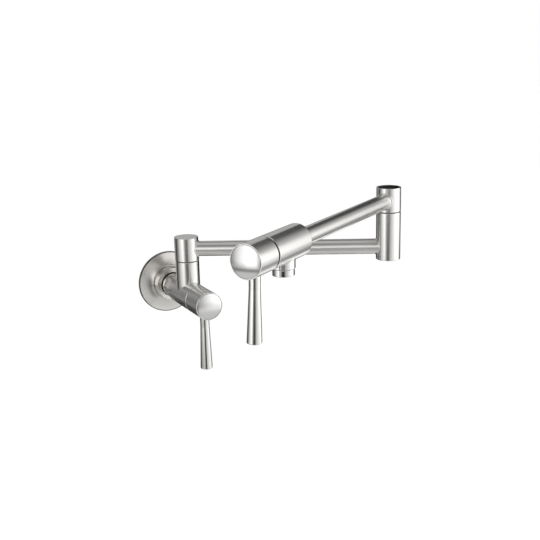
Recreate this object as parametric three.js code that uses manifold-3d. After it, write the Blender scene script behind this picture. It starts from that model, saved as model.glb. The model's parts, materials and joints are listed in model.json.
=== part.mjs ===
// Wall mounted pot filler: a swing tap with two arms, a quarter turn valve at the wall and another at the spout.
// Millimetres, +Z up. The origin is the centre of the flange's back face, the wall is the plane Y = 0 and the tap
// stands out from it towards -Y. +X is to the right for someone who faces the wall.
import * as THREE from "three";
import { mergeVertices } from "three/addons/utils/BufferGeometryUtils.js";
import Module from "manifold-3d";

const wasm = await Module();
wasm.setup();

// ---- Clearances and facets ----
const gap = 0.3; // between neighbours that seat on or in each other
const runningGap = 0.4; // around what turns inside another piece
const seam = 0.7; // open line between two visible pieces that turn on each other
const edge = 0.5; // broken edge of a turned piece
const overcut = 1; // how far a cutter runs past the face it opens
const flangeFacets = 32;
const outerFacets = 24;
const armFacets = 20;
const innerFacets = 14;
const screwFacets = 8;
const portFacets = 8; // small cross holes
const cordFacets = 4; // around the cord of an O-ring
const screenHoleCorners = 4;
const insertHoleCorners = 5;
const arcSteps = 4; // along one side of a disc's port
const domeSteps = 3;
const hexSides = 6;
const weldTolerance = 1e-4;

// ---- Flange on the wall ----
const flangeRadius = 35;
const flangeRimThickness = 3;
const flangeRise = 3.2; // from the rim's face up to the foot of the collar
const flangeHollow = 0.3; // where the hollow face is lowest, as a share of the way from the collar's foot to the rim
const flangeHollowRise = 0.6;
const flangeFaceSteps = 4;
const collarFootRadius = 20.5;
const collarRadius = 18.6;
const collarDepth = 16.5; // from the wall to the collar's front
const collarBoreRadius = 14.6;
const flangeBackLand = 4; // width of the ring that lies on the wall
const flangeBackRecess = 1.5;
const gasketWidth = 5;
const gripCordRadius = 1.2;
const gripRingDepth = 7; // from the wall to the middle of the grip ring

// ---- Supply connector and union nut ----
const socketRadius = 9.6; // half inch pipe thread for the supply
const socketWall = 3.6;
const socketFloor = 1.4;
const connectorInset = 0.6; // the connector's back stays inside the flange's back
const waterwayRadius = 4.6;
const unionThreadRadius = 8.3;
const unionThreadLength = 12.5;
const unionWasherThickness = 1.6;
const nutAcrossFlats = 22;
const nutSkirtRadius = 13;
const nutSkirtLength = 6.5;
const nutLength = 23.4;
const nutTuck = 2.5; // how far the nut reaches into the collar
const nutShoulderGap = 0.5;
const tailFlangeThickness = 2.2;
const tailNeckRadius = 6.3;
const neckShow = 0.6; // bare neck between the nut and the valve body
const screenThickness = 0.9;
const screenHoleRadius = 0.8;
const screenHolePitch = 2.9;
const screenHoleRings = 2;

// ---- Both valves ----
const valveRadius = 14.9;
const valveWall = 3.5;
const valveRearChamfer = 1.2;
const seatDepth = 33; // from the seam back to the seat that the cartridge's seal lies on
const portWeb = 2; // metal left between the outlet port and the waterway behind the seat

// ---- Wall valve and riser ----
const inletBodyLength = 51.5;
const riserInset = 25; // from the body's rear end to the riser's axis
const swivelRadius = 12.9; // riser, elbow and both turning heads
const riserBore = 7;
const tenonWall = 1.6;
const tenonStop = 0.6; // the tenon ends this short of the cartridge chamber
const shoulderSeamHeight = 38.2;

// ---- Turning heads and their pivots, measured up from each seam ----
const headHeight = 25.7;
const shoulderArmRise = 12.6;
const elbowArmRise = 11.8;
const pivotRadius = 9.8;
const pivotRoot = 9; // part of the pivot that screws into the piece below the seam
const pivotBore = 4.2;
const portRadius = 2.4;
const waterGrooveDepth = 2;
const waterGrooveHeight = 6.4;
const headSeatWall = 1.2; // wall between a head's bore and the end of its arm tube
const headPortRadius = 4;
const capThickness = 1.4;
const capRim = 0.7; // rim of the head around its cap
const shelfThickness = 1.2;
const shelfStandOff = 0.1; // the pivot's nose ends this far above the shelf, so that the head stays free to turn
const noseRadius = 5.2;
const retainerRadius = 8.6;
const retainerThickness = 0.8;
const screwShankRadius = 1.9;
const screwHeadRadius = 3.6;
const screwHeadHeight = 1.6;
const screwReach = 5;
const pivotCordRadius = 0.9;
const lowerRingHeight = 4.6;
const grooveLand = 0.5;
const thrustRecess = 1;
const thrustRim = 1.9; // width of metal left around the thrust washer

// ---- Arms ----
const tubeRadius = 8.15;
const tubeWall = 1.25;
const firstReach = 216; // shoulder axis to elbow axis
const secondReach = 228.5; // elbow axis to spout axis
const elbowDrop = 13.6; // elbow's bottom below the first arm's axis
const elbowBodyHeight = 51.5;
const elbowFloor = 4;
const elbowBore = 8.4;
const elbowPortRadius = 5;
const firstArmAngle = -29.9; // turned out from the wall, degrees about +Z
const secondArmAngle = -117.6; // turned back from straight, degrees about +Z

// ---- Spout valve ----
const outletBodyLength = 57;
const spoutInset = 25.5; // from the body's rear end to the spout's axis
const armSocketDepth = 10;
const outletPortRadius = 6.5;
const spoutNeckRadius = 10.5;
const spoutNeckDrop = 19.1; // neck's lower end below the second arm's axis
const aeratorRadius = 9.75;
const aeratorDrop = 25.3;
const aeratorThreadRadius = 8.2;
const aeratorThreadLength = 3.8;
const aeratorWall = 1.2;
const aeratorLip = 0.7;
const insertHeight = 5.5;
const insertHoleRadius = 0.75;
const insertHolePitch = 2.4;
const insertHoleRings = 2;
const aeratorWasherThickness = 1.6;
const aeratorWasherWidth = 2;

// ---- Cartridge, measured along a valve's axis ----
const waterGap = 2.2; // ring of water around the cartridge
const housingWall = 2.3;
const discThickness = 2.6;
const sealThickness = 1.7;
const sealWidth = 3.2;
const spindleRadius = 3.9;
const footThickness = 4;
const footHeight = 3;
const bonnetWall = 2.6;
const bonnetReach = 3; // bonnet's end past the seam
const bonnetShoulder = 14; // back of the housing's flange behind the seam
const bonnetShoulderLength = 5;
const cartridgeCordRadius = 0.75;
const spindleCordRadius = 0.6;
const spindleRingDepth = 4; // middle of the spindle's O-ring behind the seam
const cartridgeNutRecess = 2; // nut's front behind the seam
const spannerSlot = 3;
const windowWidth = 8;
const portInnerRadius = 2;
const portOuterInset = 1.3;
const portHalfAngle = 35;

// ---- Handles, measured from the seam ----
const hubLength = 29;
const hubSkirtDepth = 5.5;
const hubSocketDepth = 12.3;
const hubWeb = 3.7;
const handleCapSeat = 2;
const handleCapRim = 0.5;
const domeRise = 2.2;
const counterboreRadius = 5.5;
const handleScrewRadius = 1.6;
const handleScrewReach = 8;
const handleScrewHeadRadius = 3.4;
const handleScrewHeadHeight = 2.4;
const hexKeyRadius = 1.5;
const leverInset = 14.9; // seam to the lever's axis
const leverReach = 72.2; // valve axis to the lever's tip
const leverNeckRadius = 4.9;
const leverNeckLength = 11; // straight part below the hub
const leverTipRadius = 6.6;
const leverTipEdge = 0.8;
const outletLeverLean = 2; // degrees off plumb, towards the wall, where the spout's lever is shut
const studRadius = 2.5;
const studTop = 8; // stud's upper end below the valve axis
const studGrip = 9; // length of the stud inside the lever

// ---- Sizes worked out from those above ----
const nutStart = collarDepth - nutTuck;
const nutEnd = nutStart + nutLength;
const barrelEnd = nutStart - nutShoulderGap;
const connectorEnd = barrelEnd + unionThreadLength;
const tailStart = connectorEnd + gap + unionWasherThickness + gap;
const inletBodyStart = nutEnd + neckShow;
const inletSeam = inletBodyStart + inletBodyLength;
const riserAxis = inletBodyStart + riserInset;
const chamberRadius = valveRadius - valveWall;
const tenonRadius = riserBore + tenonWall;
const elbowBottom = shoulderSeamHeight + shoulderArmRise - elbowDrop;
const elbowSeamHeight = elbowBottom + elbowBodyHeight;
const headBore = pivotRadius + runningGap;
const socketSeatRadius = headBore + headSeatWall;
const armSocketRadius = tubeRadius + gap;
const outletSeam = secondReach - spoutInset + outletBodyLength;
const housingRadius = chamberRadius - waterGap;
const discRadius = housingRadius - housingWall - gap;
const spindleEnd = hubSocketDepth - gap;
const counterboreDepth = hubSocketDepth + hubWeb;
const capLedge = hubLength - handleCapSeat;

// ---- Finishes ----
const brushedNickel = new THREE.MeshStandardMaterial({ color: 0xc9c6be, metalness: 1, roughness: 0.3 });
const brass = new THREE.MeshStandardMaterial({ color: 0xb8924a, metalness: 1, roughness: 0.35 });
const stainless = new THREE.MeshStandardMaterial({ color: 0xb4b6b8, metalness: 1, roughness: 0.4 });
const rubber = new THREE.MeshStandardMaterial({ color: 0x1c1c1d, metalness: 0, roughness: 0.85 });
const slipPlastic = new THREE.MeshStandardMaterial({ color: 0x2a2a2c, metalness: 0, roughness: 0.6 });
const ceramic = new THREE.MeshStandardMaterial({ color: 0xe9e6df, metalness: 0, roughness: 0.2 });
const whitePlastic = new THREE.MeshStandardMaterial({ color: 0xdcdcd8, metalness: 0, roughness: 0.5 });

// ---- Shapes ----

// A solid turned about the Y axis from a list of [radius, place along the axis]. A profile that leaves the axis closes
// on itself. It may be listed either way round.
function turned(profile, facets) {
  const onAxis = profile[0][0] === 0;
  const points = onAxis ? [...profile] : [...profile, profile[0]];
  let area = 0;
  profile.forEach(([r, y], i) => {
    const [nextR, nextY] = profile[(i + 1) % profile.length];
    area += r * nextY - nextR * y;
  });
  if (area < 0) points.reverse();
  return new THREE.LatheGeometry(
    points.map(([r, y]) => new THREE.Vector2(r, y)),
    facets,
  );
}

// The same, turned about the Z axis.
function upright(profile, facets) {
  return turned(profile, facets).rotateX(Math.PI / 2);
}

// A round bar along "x", "y" or "z" between two places on that axis.
function rod(axis, radius, from, to, facets = innerFacets) {
  const bar = new THREE.CylinderGeometry(radius, radius, to - from, facets);
  bar.translate(0, (from + to) / 2, 0);
  if (axis === "x") bar.rotateZ(-Math.PI / 2);
  if (axis === "z") bar.rotateX(Math.PI / 2);
  return bar;
}

// A box from its lowest to its highest corner.
function block([x0, y0, z0], [x1, y1, z1]) {
  const box = new THREE.BoxGeometry(x1 - x0, y1 - y0, z1 - z0);
  return box.translate((x0 + x1) / 2, (y0 + y1) / 2, (z0 + z1) / 2);
}

// The profile of a plain ring.
function ringProfile(inner, outer, from, to) {
  return [
    [inner, from],
    [outer, from],
    [outer, to],
    [inner, to],
  ];
}

// An O-ring about the Y axis at a place along it.
function oRing(radius, cordRadius, place, facets = innerFacets) {
  const ring = new THREE.TorusGeometry(radius, cordRadius, cordFacets, facets);
  return ring.rotateX(Math.PI / 2).translate(0, place, 0);
}

// The corners of a regular outline around a point.
function outline(radius, corners, x = 0, y = 0) {
  return Array.from({ length: corners }, (_, i) => {
    const angle = (i * 2 * Math.PI) / corners;
    return new THREE.Vector2(x + radius * Math.cos(angle), y + radius * Math.sin(angle));
  });
}

// A flat plate about the Y axis from an outline with holes in it.
function plate(shape, from, to) {
  const slab = new THREE.ExtrudeGeometry(shape, { depth: to - from, bevelEnabled: false, curveSegments: innerFacets });
  return slab.rotateX(-Math.PI / 2).translate(0, from, 0);
}

// A round plate about the Y axis, with rings of round holes on a hexagonal pitch.
function perforatedPlate(radius, from, to, holeRadius, pitch, rings, corners) {
  const shape = new THREE.Shape(outline(radius, innerFacets));
  for (let ring = 0; ring <= rings; ring++) {
    const count = ring === 0 ? 1 : hexSides * ring;
    outline(ring * pitch, count).forEach((centre) => {
      shape.holes.push(new THREE.Path(outline(holeRadius, corners, centre.x, centre.y)));
    });
  }
  return plate(shape, from, to);
}

// ---- Joining and cutting ----
function solidFrom(geometry) {
  const bare = geometry.clone();
  bare.deleteAttribute("normal");
  bare.deleteAttribute("uv");
  const merged = mergeVertices(bare, weldTolerance);
  const mesh = new wasm.Mesh({
    numProp: 3,
    vertProperties: new Float32Array(merged.attributes.position.array),
    triVerts: new Uint32Array(merged.index.array),
  });
  return new wasm.Manifold(mesh);
}

function geometryFrom(solid) {
  const mesh = solid.getMesh();
  const geometry = new THREE.BufferGeometry();
  geometry.setAttribute("position", new THREE.BufferAttribute(mesh.vertProperties, 3));
  geometry.setIndex(new THREE.BufferAttribute(mesh.triVerts, 1));
  geometry.computeVertexNormals();
  return geometry;
}

function cut(body, ...cutters) {
  const solid = cutters.reduce((rest, cutter) => rest.subtract(solidFrom(cutter)), solidFrom(body));
  return geometryFrom(solid);
}

function joined(...bodies) {
  return geometryFrom(bodies.map(solidFrom).reduce((all, body) => all.add(body)));
}

function shared(first, second) {
  return geometryFrom(solidFrom(first).intersect(solidFrom(second)));
}

// ---- Assembly ----
function addPiece(parent, name, geometry, finish) {
  const mesh = new THREE.Mesh(geometry, finish);
  mesh.name = name;
  parent.add(mesh);
}

function addGroup(parent, x, y, z, turnDegrees = 0) {
  const group = new THREE.Group();
  group.position.set(x, y, z);
  group.rotation.z = THREE.MathUtils.degToRad(turnDegrees);
  parent.add(group);
  return group;
}

// ---- Wall end: every place is measured outwards from the wall ----

// The flange's face climbs in a shallow hollow curve from the rim to the foot of the collar.
function flangeFace() {
  const foot = flangeRimThickness + flangeRise;
  const hollowRadius = collarFootRadius + (flangeRadius - collarFootRadius) * flangeHollow;
  const curve = new THREE.QuadraticBezierCurve(
    new THREE.Vector2(flangeRadius - edge, flangeRimThickness),
    new THREE.Vector2(hollowRadius, flangeRimThickness + flangeHollowRise),
    new THREE.Vector2(collarFootRadius, foot),
  );
  return curve.getPoints(flangeFaceSteps).map((point) => [point.x, point.y]);
}

function wallFlange() {
  const grooveRadius = collarBoreRadius + gripCordRadius + gap;
  const grooveHalf = gripCordRadius + gap;
  return turned(
    [
      [collarBoreRadius, flangeBackRecess],
      [flangeRadius - flangeBackLand, flangeBackRecess],
      [flangeRadius - flangeBackLand, 0],
      [flangeRadius, 0],
      [flangeRadius, flangeRimThickness - edge],
      ...flangeFace(),
      [collarRadius + edge, flangeRimThickness + flangeRise + edge],
      [collarRadius, collarDepth - edge],
      [collarRadius - edge, collarDepth],
      [collarBoreRadius, collarDepth],
      [collarBoreRadius, gripRingDepth + grooveHalf],
      [grooveRadius, gripRingDepth + grooveHalf],
      [grooveRadius, gripRingDepth - grooveHalf],
      [collarBoreRadius, gripRingDepth - grooveHalf],
    ],
    flangeFacets,
  );
}

function supplyConnector() {
  const barrelRadius = socketRadius + socketWall;
  const socketEnd = barrelEnd - socketFloor;
  return turned(
    [
      [socketRadius, connectorInset],
      [barrelRadius, connectorInset],
      [barrelRadius, barrelEnd],
      [unionThreadRadius, barrelEnd],
      [unionThreadRadius, connectorEnd - edge],
      [unionThreadRadius - edge, connectorEnd],
      [waterwayRadius, connectorEnd],
      [waterwayRadius, socketEnd],
      [socketRadius, socketEnd],
    ],
    innerFacets,
  );
}

// Round skirt towards the wall, then the hexagon with its front corners turned off.
function unionNut() {
  const cornerRadius = nutAcrossFlats / 2 / Math.cos(Math.PI / hexSides);
  const hexStart = nutStart + nutSkirtLength;
  const hexagon = new THREE.CylinderGeometry(cornerRadius, cornerRadius, nutEnd - hexStart, hexSides);
  hexagon.translate(0, (nutEnd + hexStart) / 2, 0);
  const blank = turned(
    [
      [0, hexStart - overcut],
      [cornerRadius + overcut, hexStart - overcut],
      [cornerRadius + overcut, nutEnd - edge - overcut],
      [cornerRadius - edge, nutEnd],
      [0, nutEnd],
    ],
    innerFacets,
  );
  const skirt = turned(
    [
      [0, nutStart],
      [nutSkirtRadius, nutStart],
      [nutSkirtRadius, hexStart - edge],
      [nutSkirtRadius - edge, hexStart],
      [0, hexStart],
    ],
    outerFacets,
  );
  const threadEnd = tailStart + tailFlangeThickness + gap;
  const threadCut = rod("y", unionThreadRadius + gap, nutStart - overcut, threadEnd);
  const neckCut = rod("y", tailNeckRadius + gap, threadEnd - overcut, nutEnd + overcut);
  return cut(joined(skirt, shared(hexagon, blank)), threadCut, neckCut);
}

function inletValveBody() {
  const tailFlangeRadius = unionThreadRadius - gap;
  const tailFlangeEnd = tailStart + tailFlangeThickness;
  const front = inletSeam - seam / 2;
  const seat = inletSeam - seatDepth;
  const body = turned(
    [
      [waterwayRadius, tailStart],
      [tailFlangeRadius, tailStart],
      [tailFlangeRadius, tailFlangeEnd],
      [tailNeckRadius, tailFlangeEnd],
      [tailNeckRadius, inletBodyStart],
      [valveRadius - valveRearChamfer, inletBodyStart],
      [valveRadius, inletBodyStart + valveRearChamfer],
      [valveRadius, front - edge],
      [valveRadius - edge, front],
      [chamberRadius, front],
      [chamberRadius, seat],
      [waterwayRadius, seat],
    ],
    outerFacets,
  );
  const port = rod("z", tenonRadius + gap, waterwayRadius + portWeb, valveRadius + overcut);
  return cut(body, port.translate(0, riserAxis, 0));
}

function addWallEnd(parent) {
  const socketEnd = barrelEnd - socketFloor;
  const gasketOuter = flangeRadius - flangeBackLand - gap;
  const gripRadius = socketRadius + socketWall + gap + gripCordRadius;
  addPiece(parent, "wall_flange", wallFlange(), brushedNickel);
  addPiece(
    parent,
    "flange_gasket",
    turned(ringProfile(gasketOuter - gasketWidth, gasketOuter, 0, flangeBackRecess - gap), outerFacets),
    rubber,
  );
  addPiece(parent, "flange_grip_ring", oRing(gripRadius, gripCordRadius, gripRingDepth, outerFacets), rubber);
  addPiece(parent, "supply_connector", supplyConnector(), brass);
  addPiece(
    parent,
    "inlet_screen",
    perforatedPlate(
      socketRadius - gap,
      socketEnd - gap - screenThickness,
      socketEnd - gap,
      screenHoleRadius,
      screenHolePitch,
      screenHoleRings,
      screenHoleCorners,
    ),
    stainless,
  );
  addPiece(
    parent,
    "union_washer",
    turned(
      ringProfile(waterwayRadius, unionThreadRadius - gap, connectorEnd + gap, tailStart - gap),
      innerFacets,
    ),
    rubber,
  );
  addPiece(parent, "union_nut", unionNut(), brushedNickel);
  addPiece(parent, "inlet_valve_body", inletValveBody(), brushedNickel);
}

// ---- Cartridge: along +Y from the seam, the seat is behind it ----

// Round plate with two opposite ports, each a piece of a ring.
function portedDisc(from, to, turnDegrees) {
  const shape = new THREE.Shape(outline(discRadius, innerFacets));
  const arc = (radius, start, end) => {
    return Array.from({ length: arcSteps + 1 }, (_, i) => {
      const angle = THREE.MathUtils.degToRad(start + ((end - start) * i) / arcSteps);
      return new THREE.Vector2(radius * Math.cos(angle), radius * Math.sin(angle));
    });
  };
  [turnDegrees, turnDegrees + 180].forEach((middle) => {
    const outer = arc(discRadius - portOuterInset, middle - portHalfAngle, middle + portHalfAngle);
    const inner = arc(portInnerRadius, middle + portHalfAngle, middle - portHalfAngle);
    shape.holes.push(new THREE.Path([...outer, ...inner]));
  });
  return plate(shape, from, to);
}

// Where each piece of the cartridge ends, from the seat forwards.
function cartridgePlaces() {
  const seal = -seatDepth + gap;
  const housing = seal + sealThickness + gap;
  const fixedDisc = housing;
  const movingDisc = fixedDisc + discThickness + gap;
  const foot = movingDisc + discThickness + gap;
  const discRoomEnd = foot + footHeight + gap;
  return { seal, housing, fixedDisc, movingDisc, foot, discRoomEnd };
}

function cartridgeHousing() {
  const place = cartridgePlaces();
  const bonnetRadius = spindleRadius + runningGap + bonnetWall;
  const shoulderRadius = chamberRadius - gap;
  const grooveMiddle = -bonnetShoulder + bonnetShoulderLength / 2;
  const grooveHalf = cartridgeCordRadius + gap;
  const grooveRadius = shoulderRadius - 2 * cartridgeCordRadius - gap;
  const housing = turned(
    [
      [discRadius + gap, place.housing],
      [housingRadius, place.housing],
      [housingRadius, -bonnetShoulder],
      [shoulderRadius, -bonnetShoulder],
      [shoulderRadius, grooveMiddle - grooveHalf],
      [grooveRadius, grooveMiddle - grooveHalf],
      [grooveRadius, grooveMiddle + grooveHalf],
      [shoulderRadius, grooveMiddle + grooveHalf],
      [shoulderRadius, -bonnetShoulder + bonnetShoulderLength],
      [bonnetRadius, -bonnetShoulder + bonnetShoulderLength],
      [bonnetRadius, bonnetReach],
      [spindleRadius + runningGap, bonnetReach],
      [spindleRadius + runningGap, place.discRoomEnd],
      [discRadius + gap, place.discRoomEnd],
    ],
    innerFacets,
  );
  const window = block(
    [-windowWidth / 2, place.foot - gap, -chamberRadius],
    [windowWidth / 2, place.foot + footHeight, chamberRadius],
  );
  return cut(housing, window);
}

function cartridgeNut() {
  const inner = spindleRadius + runningGap + bonnetWall + gap;
  const outer = chamberRadius - gap;
  const from = -bonnetShoulder + bonnetShoulderLength + gap;
  const ring = turned(ringProfile(inner, outer, from, -cartridgeNutRecess), innerFacets);
  const slot = block(
    [-outer - overcut, -cartridgeNutRecess - spannerSlot, -spannerSlot / 2],
    [outer + overcut, -cartridgeNutRecess + overcut, spannerSlot / 2],
  );
  return cut(ring, slot);
}

// Shaft with an O-ring groove and a tapped end, on the flat foot that turns the moving disc.
function spindle() {
  const place = cartridgePlaces();
  const grooveHalf = spindleCordRadius + gap;
  const grooveRadius = spindleRadius - 2 * spindleCordRadius;
  const shaft = turned(
    [
      [0, place.foot],
      [spindleRadius, place.foot],
      [spindleRadius, -spindleRingDepth - grooveHalf],
      [grooveRadius, -spindleRingDepth - grooveHalf],
      [grooveRadius, -spindleRingDepth + grooveHalf],
      [spindleRadius, -spindleRingDepth + grooveHalf],
      [spindleRadius, spindleEnd],
      [0, spindleEnd],
    ],
    innerFacets,
  );
  const foot = shared(
    block([-discRadius, place.foot, -footThickness / 2], [discRadius, place.foot + footHeight, footThickness / 2]),
    rod("y", discRadius - gap, place.foot - overcut, place.foot + footHeight + overcut),
  );
  const tapped = rod("y", handleScrewRadius + gap, spindleEnd - handleScrewReach, spindleEnd + overcut, screwFacets);
  return cut(joined(shaft, foot), tapped);
}

function addCartridge(parent, side) {
  const place = cartridgePlaces();
  const sealOuter = discRadius + gap + housingWall / 2;
  const cordCentre = chamberRadius - gap - cartridgeCordRadius;
  addPiece(
    parent,
    side + "_cartridge_seal",
    turned(ringProfile(sealOuter - sealWidth, sealOuter, place.seal, place.seal + sealThickness), innerFacets),
    rubber,
  );
  addPiece(
    parent,
    side + "_fixed_disc",
    portedDisc(place.fixedDisc, place.fixedDisc + discThickness, 0),
    ceramic,
  );
  addPiece(parent, side + "_cartridge_housing", cartridgeHousing(), brass);
  addPiece(
    parent,
    side + "_cartridge_o_ring",
    oRing(cordCentre, cartridgeCordRadius, -bonnetShoulder + bonnetShoulderLength / 2),
    rubber,
  );
  addPiece(parent, side + "_cartridge_nut", cartridgeNut(), brass);
}

// ---- Handle: along +Y from the seam, the lever hangs towards -Z ----

function handleHub() {
  const back = seam / 2;
  const capRecess = valveRadius - handleCapRim;
  const hub = turned(
    [
      [chamberRadius, back],
      [valveRadius - edge, back],
      [valveRadius, back + edge],
      [valveRadius, hubLength],
      [capRecess, hubLength],
      [capRecess, capLedge],
      [counterboreRadius, capLedge],
      [counterboreRadius, counterboreDepth],
      [handleScrewRadius + runningGap, counterboreDepth],
      [handleScrewRadius + runningGap, hubSocketDepth],
      [spindleRadius + gap, hubSocketDepth],
      [spindleRadius + gap, hubSkirtDepth],
      [chamberRadius, hubSkirtDepth],
    ],
    outerFacets,
  );
  const studHole = rod("z", studRadius + gap, -valveRadius - overcut, -studTop + gap, screwFacets);
  return cut(hub, studHole.translate(0, leverInset, 0));
}

// Shallow domed disc that closes the front of the hub.
function handleCap() {
  const radius = valveRadius - handleCapRim - gap;
  const sphere = (radius * radius + domeRise * domeRise) / (2 * domeRise);
  const dome = Array.from({ length: domeSteps + 1 }, (_, i) => {
    const r = (radius * (domeSteps - i)) / domeSteps;
    return [r, hubLength + domeRise - sphere + Math.sqrt(sphere * sphere - r * r)];
  });
  return turned([[0, capLedge + gap], [radius, capLedge + gap], ...dome], outerFacets);
}

// A round headed screw along an axis from its tip up to its head, with a hexagonal socket.
function headedScrew(shankRadius, tip, headStart, headRadius, headHeight) {
  const screw = turned(
    [
      [0, tip],
      [shankRadius, tip],
      [shankRadius, headStart],
      [headRadius, headStart],
      [headRadius, headStart + headHeight],
      [0, headStart + headHeight],
    ],
    screwFacets,
  );
  const socket = new THREE.CylinderGeometry(hexKeyRadius, hexKeyRadius, headHeight, hexSides);
  socket.translate(0, headStart + headHeight, 0);
  return cut(screw, socket);
}

// Straight neck under the hub, then a cone that widens to a flat tip. The top follows the hub's round side.
function lever() {
  const neckEnd = valveRadius + leverNeckLength;
  const stick = upright(
    [
      [0, -leverReach],
      [leverTipRadius - leverTipEdge, -leverReach],
      [leverTipRadius, -leverReach + leverTipEdge],
      [leverNeckRadius, -neckEnd],
      [leverNeckRadius, -valveRadius / 2],
      [0, -valveRadius / 2],
    ],
    armFacets,
  );
  const holeEnd = -valveRadius - studGrip - 2 * gap;
  const hubCut = rod("y", valveRadius + gap, -2 * valveRadius, 2 * valveRadius, outerFacets);
  const studHole = rod("z", studRadius + gap, holeEnd, 0, screwFacets);
  return cut(stick, hubCut, studHole).translate(0, leverInset, 0);
}

function addHandle(parent, side) {
  const place = cartridgePlaces();
  const screwTip = spindleEnd - handleScrewReach + gap;
  const studEnd = -valveRadius - studGrip;
  addPiece(parent, side + "_handle_hub", handleHub(), brushedNickel);
  addPiece(parent, side + "_handle_cap", handleCap(), brushedNickel);
  addPiece(
    parent,
    side + "_handle_screw",
    headedScrew(
      handleScrewRadius,
      screwTip,
      counterboreDepth + gap,
      handleScrewHeadRadius,
      handleScrewHeadHeight,
    ),
    stainless,
  );
  addPiece(parent, side + "_lever", lever(), brushedNickel);
  addPiece(
    parent,
    side + "_lever_stud",
    rod("z", studRadius, studEnd, -studTop, screwFacets).translate(0, leverInset, 0),
    stainless,
  );
  addPiece(parent, side + "_spindle", spindle(), brass);
  addPiece(
    parent,
    side + "_spindle_o_ring",
    oRing(spindleRadius - spindleCordRadius + gap / 2, spindleCordRadius, -spindleRingDepth),
    rubber,
  );
  addPiece(
    parent,
    side + "_moving_disc",
    portedDisc(place.movingDisc, place.movingDisc + discThickness, 90),
    ceramic,
  );
}

// ---- Turning heads: upright, measured from the seam ----

// Heights inside a head, from its top down.
function headPlaces() {
  const capBottom = headHeight - capThickness;
  const screwHead = capBottom - gap - screwHeadHeight;
  const retainer = screwHead - gap - retainerThickness;
  const nose = retainer - gap;
  const shelfTop = nose - shelfStandOff;
  const shelfBottom = shelfTop - shelfThickness;
  const shoulder = shelfBottom - gap;
  return { capBottom, screwHead, retainer, nose, shelfTop, shelfBottom, shoulder };
}

function swivelHead(armRise) {
  const place = headPlaces();
  const head = upright(
    [
      [headBore, seam / 2],
      [swivelRadius - edge, seam / 2],
      [swivelRadius, seam / 2 + edge],
      [swivelRadius, headHeight - edge],
      [swivelRadius - edge, headHeight],
      [swivelRadius - capRim, headHeight],
      [swivelRadius - capRim, place.capBottom - gap],
      [retainerRadius + runningGap, place.capBottom - gap],
      [retainerRadius + runningGap, place.shelfTop],
      [noseRadius + runningGap, place.shelfTop],
      [noseRadius + runningGap, place.shelfBottom],
      [headBore, place.shelfBottom],
    ],
    outerFacets,
  );
  return cut(head, ...armSocket(armRise, 1, headPortRadius));
}

// The cuts that take an arm tube into an upright cylinder: a round socket down to a ring of wall, and a water port.
function armSocket(height, side, portSize) {
  const reach = side * (swivelRadius + overcut);
  const hole = rod("x", armSocketRadius, Math.min(0, reach), Math.max(0, reach), armFacets);
  const wall = rod("z", socketSeatRadius, -2 * tubeRadius, 2 * tubeRadius, outerFacets);
  const port = rod("x", portSize, Math.min(0, reach), Math.max(0, reach));
  return [cut(hole, wall).translate(0, 0, height), port.translate(0, 0, height)];
}

// Heights of the two O-rings on a pivot.
function pivotRings() {
  const grooveHalf = pivotCordRadius + gap;
  return [lowerRingHeight, headPlaces().shoulder - grooveLand - grooveHalf];
}

// Hollow spigot: water rises through its bore and leaves by cross ports into a groove at the arm's height.
function pivot(armRise) {
  const place = headPlaces();
  const grooveHalf = pivotCordRadius + gap;
  const ringGrooveRadius = pivotRadius - 2 * pivotCordRadius - gap;
  const waterGrooveRadius = pivotRadius - waterGrooveDepth;
  const [lowerRing, upperRing] = pivotRings();
  const boreTop = armRise + portRadius;
  const waterTop = Math.min(armRise + waterGrooveHeight / 2, upperRing - grooveHalf - grooveLand);
  const spigot = upright(
    [
      [pivotBore, -pivotRoot],
      [pivotRadius, -pivotRoot],
      [pivotRadius, lowerRing - grooveHalf],
      [ringGrooveRadius, lowerRing - grooveHalf],
      [ringGrooveRadius, lowerRing + grooveHalf],
      [pivotRadius, lowerRing + grooveHalf],
      [pivotRadius, armRise - waterGrooveHeight / 2],
      [waterGrooveRadius, armRise - waterGrooveHeight / 2],
      [waterGrooveRadius, waterTop],
      [pivotRadius, waterTop],
      [pivotRadius, upperRing - grooveHalf],
      [ringGrooveRadius, upperRing - grooveHalf],
      [ringGrooveRadius, upperRing + grooveHalf],
      [pivotRadius, upperRing + grooveHalf],
      [pivotRadius, place.shoulder],
      [noseRadius, place.shoulder],
      [noseRadius, place.nose],
      [screwShankRadius + gap, place.nose],
      [screwShankRadius + gap, place.nose - screwReach + 2 * gap],
      [0, place.nose - screwReach + 2 * gap],
      [0, boreTop],
      [pivotBore, boreTop],
    ],
    innerFacets,
  );
  const ports = ["x", "y"].map((axis) => {
    const hole = rod(axis, portRadius, -pivotRadius - overcut, pivotRadius + overcut, portFacets);
    return hole.translate(0, 0, armRise);
  });
  return cut(spigot, ...ports);
}

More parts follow.
